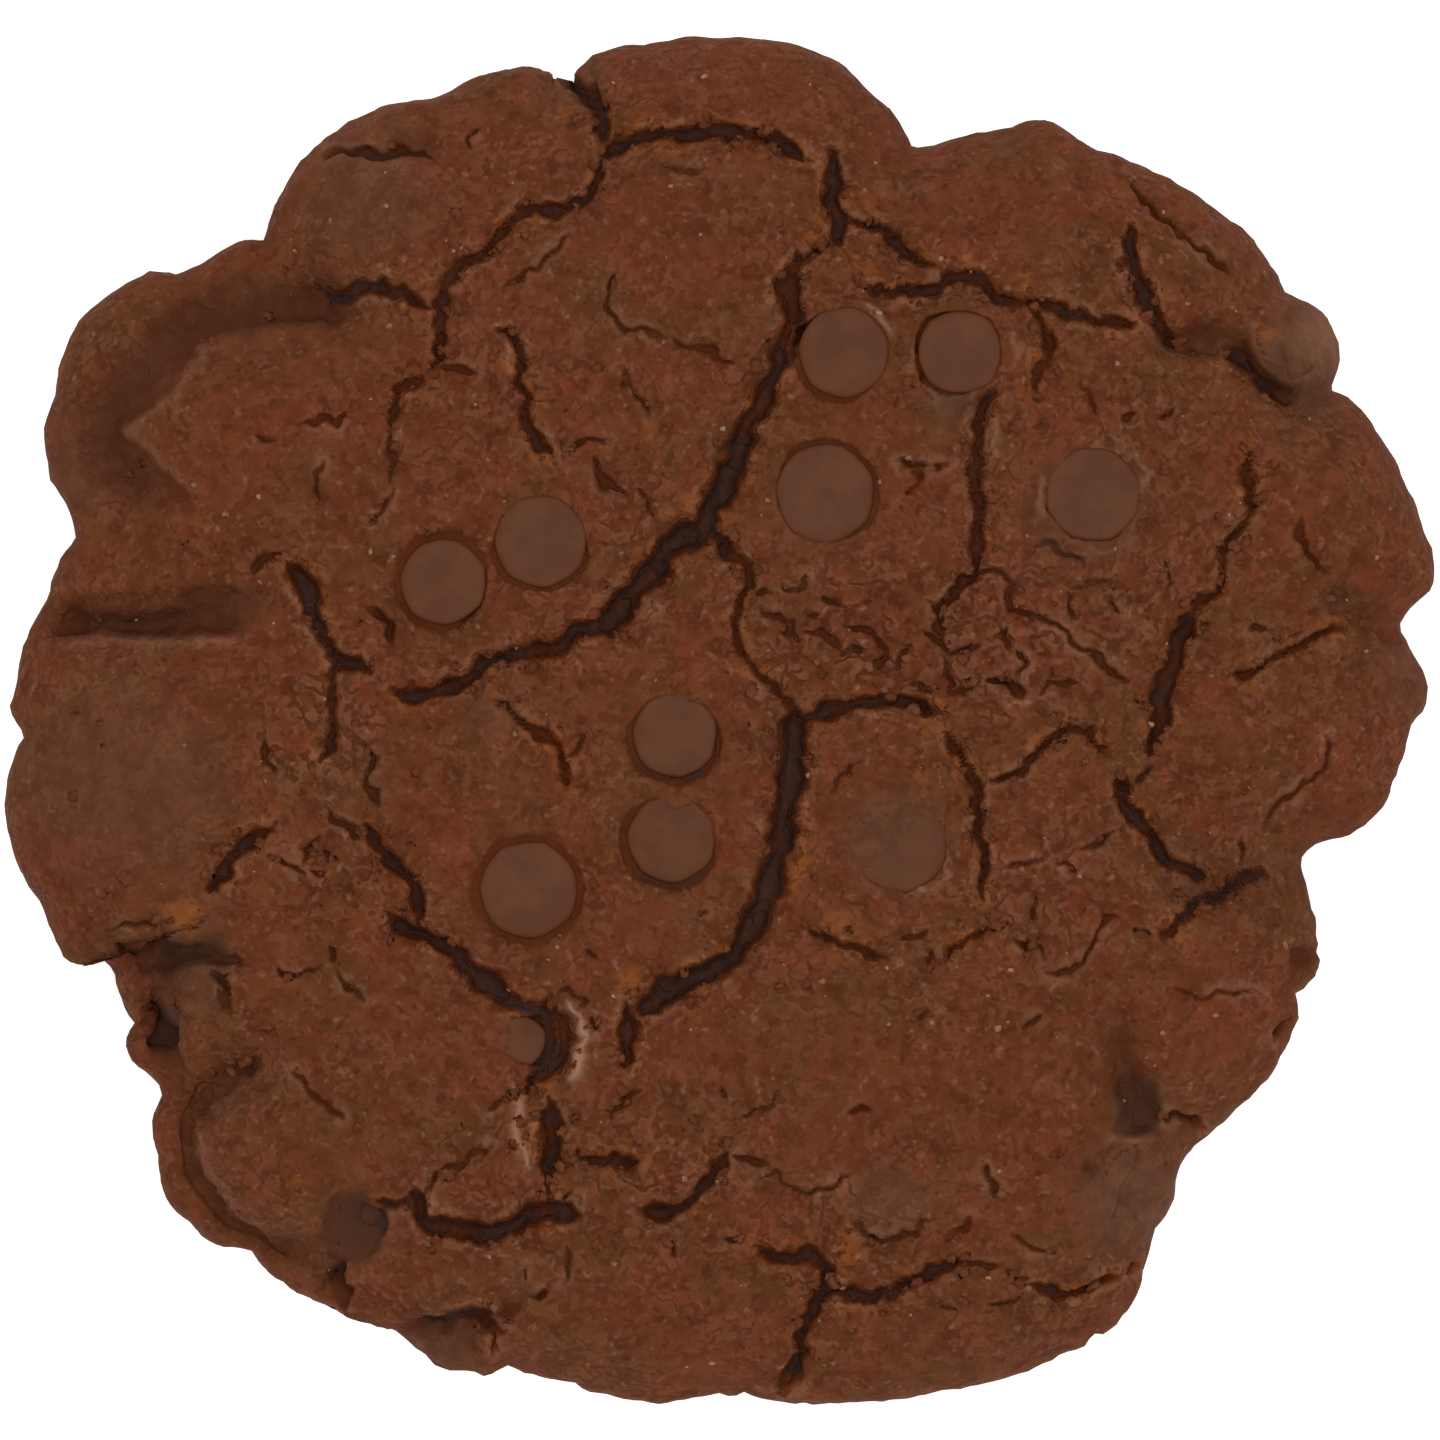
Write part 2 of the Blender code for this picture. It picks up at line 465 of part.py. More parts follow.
def chip_place(chip):
    """The chip's frame: its base faces up and leans towards its heading."""
    lean, heading = math.radians(chip.lean), math.radians(chip.heading)
    axis = Vector((-math.sin(heading), math.cos(heading), 0.0))
    crust = float(top_height(chip.x, chip.y)) - chip.sink
    return Matrix.Translation((chip.x, chip.y, crust)) @ Matrix.Rotation(lean, 4, axis)


def chip_body(chip, grow=0.0, collar=0.0):
    """A chip turned from its profile; grow and a collar make its socket's cutter."""
    body = bmesh.new()
    profile = [(0.0, grow)]
    profile += [(chip.radius * share + grow, grow - (CHIP_DEPTH + 2 * grow) * sink)
                for share, sink in CHIP_PROFILE]
    profile.append((0.0, -CHIP_DEPTH - grow))
    if collar:
        profile[:2] = [(0.0, collar), (chip.radius + grow, collar)]
    verts = [body.verts.new((out, 0.0, level)) for out, level in profile]
    edges = [body.edges.new(pair) for pair in zip(verts[:-1], verts[1:])]
    bmesh.ops.spin(body, geom=verts + edges, cent=(0, 0, 0), axis=(0, 0, 1), dvec=(0, 0, 0),
                   angle=math.tau, steps=CHIP_SIDES, use_merge=True)
    bmesh.ops.remove_doubles(body, verts=body.verts, dist=1e-4)
    bmesh.ops.transform(body, matrix=chip_place(chip), verts=body.verts)
    bmesh.ops.triangulate(body, faces=body.faces)
    bmesh.ops.recalc_face_normals(body, faces=body.faces)
    return body


def cut_away(obj, cutters):
    """Cut each of the cutters out of an object in turn and remove them."""
    for cutter in cutters.objects:
        cut = obj.modifiers.new(cutter.name, "BOOLEAN")
        cut.operation = "DIFFERENCE"
        cut.object = cutter
        cut.solver = "EXACT"
    bpy.context.view_layer.update()
    done = bpy.data.meshes.new_from_object(obj.evaluated_get(bpy.context.evaluated_depsgraph_get()))
    obj.modifiers.clear()
    plain = obj.data
    obj.data = done
    bpy.data.meshes.remove(plain)
    for cutter in list(cutters.objects):
        bpy.data.objects.remove(cutter)
    bpy.data.collections.remove(cutters)


def clean_mesh(obj):
    """Merge near-double points, join faces that are almost flat, and drop loose scraps."""
    body = bmesh.new()
    body.from_mesh(obj.data)
    bmesh.ops.remove_doubles(body, verts=body.verts, dist=MERGE_DISTANCE * MM)
    bmesh.ops.dissolve_limit(body, angle_limit=math.radians(FLAT_ANGLE), verts=body.verts,
                             edges=body.edges)
    bmesh.ops.triangulate(body, faces=body.faces)
    islands = []
    left = set(body.verts)
    while left:
        island, front = set(), [left.pop()]
        while front:
            vert = front.pop()
            island.add(vert)
            near = {edge.other_vert(vert) for edge in vert.link_edges} & left
            left -= near
            front += near
        islands.append(island)
    for scrap in sorted(islands, key=len)[:-1]:
        bmesh.ops.delete(body, geom=list(scrap), context="VERTS")
    body.to_mesh(obj.data)
    body.free()
    obj.data.shade_smooth()
    obj.data.set_sharp_from_angle(angle=math.radians(SHARP_ANGLE))


def main():
    """Build the cookie and its chips."""
    for obj in list(bpy.data.objects):
        bpy.data.objects.remove(obj)
    scene_objects = bpy.context.scene.collection
    dough = plain_material("baked_dough", (0.120, 0.038, 0.016), 0.85)
    chocolate = plain_material("chocolate", (0.110, 0.043, 0.022), 0.5)

    cookie = new_object("cookie", dough_body(), dough, scene_objects)
    cutters = bpy.data.collections.new("Cutters")
    scene_objects.children.link(cutters)
    draw = random.Random(11)
    for crack in CRACKS:
        new_object("cut_" + crack.name, crack_cutter(crack, draw), dough, cutters)
    for pit in PITS:
        new_object("cut_" + pit.name, pit_cutter(pit), dough, cutters)
    for chip in CHIPS:
        new_object("cut_socket", chip_body(chip, CHIP_GAP, CUTTER_RISE), dough, cutters)
    cut_away(cookie, cutters)
    clean_mesh(cookie)

    for number, chip in enumerate(CHIPS, start=1):
        piece = new_object(f"chip_{number:02d}", chip_body(chip), chocolate, scene_objects)
        piece.data.shade_smooth()


main()
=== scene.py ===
"""The looks of a double chocolate cookie: cracked dough, chips, crumbs and sugar grains.

Sizes and places are in millimetres in the cookie's own frame and become metres when
a mesh is made. X runs to the right and Y away from the reader, seen from above, and
the cookie lies on its flat base at Z = 0.
"""

import logging
import math
from dataclasses import dataclass, field
from enum import Enum

import bmesh
import bpy
import numpy as np
from mathutils import Matrix, Vector
from mathutils.kdtree import KDTree

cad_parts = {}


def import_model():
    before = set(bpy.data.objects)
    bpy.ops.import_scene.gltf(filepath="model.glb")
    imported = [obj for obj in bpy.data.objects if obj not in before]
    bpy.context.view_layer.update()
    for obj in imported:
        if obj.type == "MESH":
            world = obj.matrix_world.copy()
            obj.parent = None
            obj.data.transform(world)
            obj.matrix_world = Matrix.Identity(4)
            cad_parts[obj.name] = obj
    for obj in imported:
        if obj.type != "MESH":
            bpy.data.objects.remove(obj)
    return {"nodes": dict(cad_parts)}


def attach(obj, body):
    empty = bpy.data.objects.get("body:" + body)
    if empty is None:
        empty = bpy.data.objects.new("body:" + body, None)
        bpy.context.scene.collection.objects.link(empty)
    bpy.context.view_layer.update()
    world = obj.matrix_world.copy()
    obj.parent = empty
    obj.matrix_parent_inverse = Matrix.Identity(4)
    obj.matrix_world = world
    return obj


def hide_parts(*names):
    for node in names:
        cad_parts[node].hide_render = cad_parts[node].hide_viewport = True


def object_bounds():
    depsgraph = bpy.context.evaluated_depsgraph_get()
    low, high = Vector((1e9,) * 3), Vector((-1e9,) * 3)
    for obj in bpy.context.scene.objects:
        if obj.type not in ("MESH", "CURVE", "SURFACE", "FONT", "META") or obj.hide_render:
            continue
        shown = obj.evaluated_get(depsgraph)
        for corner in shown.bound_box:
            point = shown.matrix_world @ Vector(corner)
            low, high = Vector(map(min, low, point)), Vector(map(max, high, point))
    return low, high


LOG = logging.getLogger("cookie")
MM = 0.001
BODY = "root"

Route = tuple[tuple[float, float], ...]


class Look(Enum):
    """Values that a dough mesh carries at its points for its finish to read."""

    # Painted shade: how far the colour darkens in cracks, pits, valleys, under plate edges, in the
    # grooves round chips and on chips set deep, and a little towards the outer rim
    PAINTED_SHADE = "painted_shade"
    LIP = "crack_lip"
    # Smooth greyish cocoa patches and the dough film over chips, and also painted shade that turns
    # the valleys greyer
    SMEAR = "cocoa_smear_and_valley_shade"
    # Painted highlight: pale colour along raised plate edges, ridges, the lips beside cracks and a
    # few broad patches
    HIGHLIGHT_RIM = "painted_highlight_rim"
    CRINKLE = "crinkle"


class CrackKind(Enum):
    """Base depth, depth for each millimetre of width, and shares of width at ends and middle."""

    OPEN = (0.6, 0.75, 0.35, 1.0)
    HAIR = (0.16, 1.0, 0.3, 1.2)
    VALLEY = (0.0, 0.0, 1.0, 1.0)


@dataclass(frozen=True)
class Crack:
    """A crack or a soft valley: its width, its route in plan, its kind and a set depth."""

    width: float
    route: Route
    kind: CrackKind = CrackKind.OPEN
    depth: float = 0.0

    def full_depth(self) -> float:
        """Depth at the middle of the crack, away from its ends."""
        base, per_width, _, _ = self.kind.value
        return self.depth or base + per_width * self.width


@dataclass(frozen=True)
class Mound:
    """A plate of crust that stands a little proud: place, reach and rise."""

    x: float
    y: float
    reach: float
    rise: float


@dataclass(frozen=True)
class Pit:
    """A rounded hollow: place, half sizes along and across, depth and heading."""

    x: float
    y: float
    along: float
    across: float
    depth: float
    heading: float = 0.0


# Outline seen from above, clockwise: each row is a corner and a point that the
# arc from it passes through on its way to the next row's corner
OUTLINE = (
    (-40.6, 11.4, -41.0, 13.0), (-41.9, 14.8, -42.45, 17.2), (-42.0, 20.6, -40.2, 25.2),
    (-36.6, 27.9, -35.6, 28.3), (-34.4, 28.1, -32.4, 29.1), (-30.9, 29.85, -30.1, 30.35),
    (-28.8, 30.3, -27.2, 34.0), (-23.4, 37.6, -20.2, 38.9), (-18.0, 39.2, -15.0, 40.5),
    (-12.3, 41.25, -11.4, 40.9), (-10.5, 40.0, -9.4, 40.7), (-8.0, 42.05, -1.5, 43.0),
    (3.0, 42.95, 6.4, 42.0), (8.7, 40.6, 9.6, 39.5), (10.6, 38.7, 11.5, 37.3),
    (12.1, 35.9, 15.0, 36.7), (18.4, 37.25, 20.6, 37.8), (21.6, 37.4, 22.6, 36.6),
    (24.0, 35.75, 28.3, 34.15), (32.0, 31.7, 34.2, 29.7), (35.6, 26.8, 37.6, 25.95),
    (38.6, 24.6, 39.0, 23.2), (38.3, 20.8, 40.3, 19.65), (41.6, 18.1, 43.2, 15.1),
    (44.4, 12.0, 45.0, 9.6), (44.6, 8.0, 43.7, 7.2), (42.8, 5.9, 43.6, 4.7),
    (44.4, 2.8, 44.4, 0.8), (43.65, -0.1, 42.9, -2.9), (42.0, -5.2, 40.4, -6.6),
    (37.8, -7.7, 37.1, -8.2), (36.6, -8.95, 37.2, -11.4), (37.8, -14.2, 37.6, -16.0),
    (36.2, -17.25, 36.55, -18.2), (36.1, -19.5, 35.2, -21.6), (32.4, -24.7, 31.0, -25.9),
    (29.8, -26.85, 29.1, -27.9), (28.75, -28.7, 28.5, -30.3), (27.5, -31.9, 27.25, -33.2),
    (26.7, -34.6, 26.2, -36.3), (25.3, -37.6, 24.7, -38.25), (24.1, -38.65, 23.6, -38.5),
    (23.1, -39.1, 18.5, -41.15), (12.5, -42.6, 7.1, -43.1), (3.0, -42.75, 2.2, -42.6),
    (1.5, -42.3, 0.8, -42.6), (0.1, -42.4, -3.3, -42.95), (-7.5, -42.3, -8.6, -41.95),
    (-9.0, -41.65, -11.2, -41.4), (-13.4, -40.55, -14.2, -40.95), (-15.5, -41.05, -16.4, -41.2),
    (-17.1, -41.2, -19.4, -40.1), (-21.4, -38.4, -23.0, -37.75), (-24.2, -36.9, -26.0, -36.35),
    (-27.3, -35.45, -28.6, -34.8), (-29.8, -33.75, -31.6, -33.2), (-33.2, -31.8, -34.7, -30.3),
    (-35.4, -27.6, -35.75, -25.6), (-35.4, -23.4, -35.9, -22.6), (-36.6, -22.0, -37.45, -20.3),
    (-36.85, -19.05, -37.7, -17.7), (-38.15, -16.2, -38.4, -15.5), (-39.2, -15.1, -40.3, -15.45),
    (-41.3, -14.9, -42.0, -13.4), (-42.3, -12.7, -42.9, -11.3), (-43.4, -10.7, -44.9, -6.8),
    (-45.0, -4.6, -44.7, -2.8), (-43.8, -0.9, -44.5, 0.5), (-44.3, 2.2, -43.6, 5.4),
    (-42.3, 7.9, -41.9, 9.6),
)

# Open cracks between the plates of crust
OPEN_CRACKS = (
    Crack(1.3, ((-10.9, 40.6), (-9.2, 39.9), (-8.0, 38.5), (-7.2, 36.4))),
    Crack(1.1, ((-7.5, 35.6), (-5, 36.3), (-3, 36.6), (0, 36.6), (3, 36.4), (5.5, 35.4))),
    Crack(0.8, ((-7.5, 35.2), (-8, 33), (-10, 32), (-12.3, 31.8), (-14.5, 29.8),
                (-16.5, 28.6), (-17.5, 26.5), (-17.4, 24.3), (-18, 21.7))),
    Crack(1.0, ((-25, 27), (-23.5, 26.5), (-22, 27.3), (-20, 27), (-18, 25.8))),
    Crack(0.8, ((-13.9, 24.8), (-12.5, 23.5), (-12.8, 21.5), (-12, 20), (-12.2, 18.5),
                (-10.5, 16.5))),
    Crack(0.6, ((-20.2, 18.3), (-20.2, 20.4), (-18.4, 21))),
    Crack(1.4, ((6.9, 35.8), (7, 34), (7, 32.5), (7.5, 31), (7.1, 29.5))),
    Crack(0.6, ((7.3, 30.2), (6.2, 29.2), (5, 28.7), (4.4, 27.2))),
    Crack(1.5, ((4.5, 28.2), (4.4, 26.5), (4.7, 25), (4, 23), (3.3, 21.5), (2.7, 20),
                (2.3, 18.4))),
    Crack(1.9, ((2.7, 20), (1.6, 18), (1, 16.5), (0.3, 15), (-0.3, 13.5), (-0.9, 12.2),
                (-2.2, 11.5), (-3.5, 10.8), (-4.2, 9.5), (-5, 8.5), (-6, 7), (-7.9, 5.7))),
    Crack(1.3, ((-6.6, 6.5), (-9, 5.4), (-10.5, 4.5), (-12, 4.2), (-14, 3.7), (-16, 2.5),
                (-18, 1.8), (-20.5, 2))),
    Crack(1.2, ((-1.0, 12.6), (0.1, 11.2), (1.1, 9.8))),
    Crack(0.6, ((-0.3, 12.2), (0.8, 10.5), (1.6, 9.5), (1.7, 8), (1, 6.3), (1.2, 4),
                (3, 2.2), (4, 1.5), (4.4, 0))),
    Crack(1.0, ((3.9, -0.2), (6, 0.5), (8, 0.8), (10, 1.1), (12, 1.2), (13.9, 0.5))),
    Crack(1.9, ((4.4, 0.9), (4.4, -1.2), (4.5, -3.4), (4, -5.6), (4, -7.3), (3.6, -9.4),
                (2.7, -11.4), (1.9, -13.2), (0.4, -15), (-1.4, -16.1), (-2.9, -17.2),
                (-4.9, -18.5))),
    Crack(1.2, ((-5.9, -17.8), (-5.8, -19.6), (-5.8, -21.6))),
    Crack(0.8, ((7.3, 31.2), (9, 30.8), (10.5, 30.5), (11.4, 29.2), (13.9, 28.4))),
    Crack(0.8, ((8.8, 26.9), (11, 26.9), (13, 27), (14.5, 27.7), (16, 27.7), (18.5, 26.2),
                (21.3, 26), (22.5, 25), (26, 24.8))),
    Crack(0.55, ((19.5, 26.2), (20.3, 24.5), (20.4, 23), (19.8, 20.5))),
    Crack(0.8, ((17.8, 21.3), (16.6, 20.2), (16.3, 18.5), (16, 15.5), (16.1, 12.5),
                (16.1, 9.4), (15, 8.5), (13.8, 6.9))),
    Crack(1.1, ((26, 31), (25.8, 29), (26, 27.8), (26.8, 26.5), (27.5, 25), (28.4, 23.3))),
    Crack(1.0, ((31.8, 23.3), (33, 22), (34.5, 20.8), (35.7, 19.7))),
    Crack(0.6, ((33.2, 17), (33.1, 15.5), (33.3, 13.2), (31.6, 10.4), (31.4, 8.2),
                (30, 7.4), (28.9, 5.7))),
    Crack(1.3, ((29.5, 6.8), (28.2, 3.6), (27.6, 1.7), (27.4, -0.3), (26.9, -2.3))),
    Crack(0.7, ((39, 6.2), (38, 5.6), (35.2, 4.1), (32, 2.8))),
    Crack(1.1, ((24.8, -3.1), (25.4, -5.3), (26.6, -6.4), (27.4, -7.6), (28.4, -8.8),
                (30.6, -9.6))),
    Crack(0.9, ((34.5, -9.8), (33.2, -9.7), (31, -11.1), (29.2, -12.1), (27.5, -13.6))),
    Crack(0.6, ((24.4, -2.3), (23.2, -0.8), (21, -0.8), (19.6, -2.2), (19, -3.2), (17.1, -4))),
    Crack(0.8, ((14, -0.7), (15.3, -2.6), (16.4, -4.6), (16.2, -7), (16.6, -8.6),
                (16.3, -11.4))),
    Crack(0.55, ((5.2, -13.4), (8, -13.9), (10.6, -14.8))),
    Crack(0.4, ((13.9, -14.9), (15.7, -13.4), (18.4, -12.5))),
    Crack(1.2, ((-27.2, 9.6), (-26.2, 8.8), (-25.6, 7.5), (-24.8, 5.5), (-24.1, 3.8),
                (-21.9, 3.2))),
    Crack(0.8, ((-24.2, 3.6), (-24.3, 1.3), (-24.3, -0.6), (-25.1, -2.6))),
    Crack(1.0, ((-27.9, -6.3), (-29.3, -7.3), (-30.2, -8.4), (-31, -9.4), (-31.9, -10.9))),
    Crack(0.9, ((-22.1, -6.5), (-21, -8), (-20, -9.2), (-19.1, -10.2), (-18.8, -12.6))),
    Crack(1.4, ((-20.5, -11.9), (-18.8, -13.5), (-17.3, -14.3), (-15.3, -15.9),
                (-14, -16.9), (-12.8, -17.8), (-11.0, -18.1), (-10.0, -19.3),
                (-10.1, -20.8), (-11.6, -22.1), (-12.3, -23.4))),
    Crack(1.3, ((-10.5, -23.6), (-10.6, -25.6), (-10.8, -28.9))),
    Crack(0.6, ((-13.9, 1.3), (-12.5, 0.1), (-11.2, -0.9), (-10, -2), (-9.1, -4.5))),
    Crack(1.5, ((-19.1, -29.4), (-18.5, -31.6), (-15.3, -32), (-13.1, -31.5),
                (-11.2, -30.6), (-8.8, -31.4))),
    Crack(1.0, ((-8.7, -27.9), (-7, -27.5), (-4.7, -27.6))),
    Crack(1.1, ((-5.3, -30.6), (-3.4, -30.8), (-2.2, -30.1), (-1.2, -29.3), (-0.2, -28),
                (0.8, -27))),
    Crack(1.2, ((2.1, -32.8), (3.8, -33.6), (5.6, -33.2), (6.7, -34.3), (6.7, -35.6),
                (6.1, -36.8), (5.3, -38.3), (5.2, -40), (4.1, -42.2))),
    Crack(1.0, ((6.7, -35.4), (9, -36), (10.4, -35.7), (12.3, -35), (15.3, -33.7))),
    Crack(0.7, ((19.4, -35.2), (21.8, -36.1), (23.2, -35.7), (25.2, -34.7))),
    Crack(1.2, ((-20.0, -38.2), (-18, -38), (-15.5, -37.2), (-13.6, -38.4))),
    Crack(0.9, ((-24.2, -33.4), (-23.9, -35.0), (-23.6, -37.2))),
    Crack(0.8, ((-21.5, -30.1), (-20.2, -30.6), (-19.0, -30.2))),
    Crack(0.9, ((-28.9, -21.3), (-30.4, -22.4), (-32.0, -23.8), (-32.9, -25.2)),
          CrackKind.OPEN, 0.45),
)

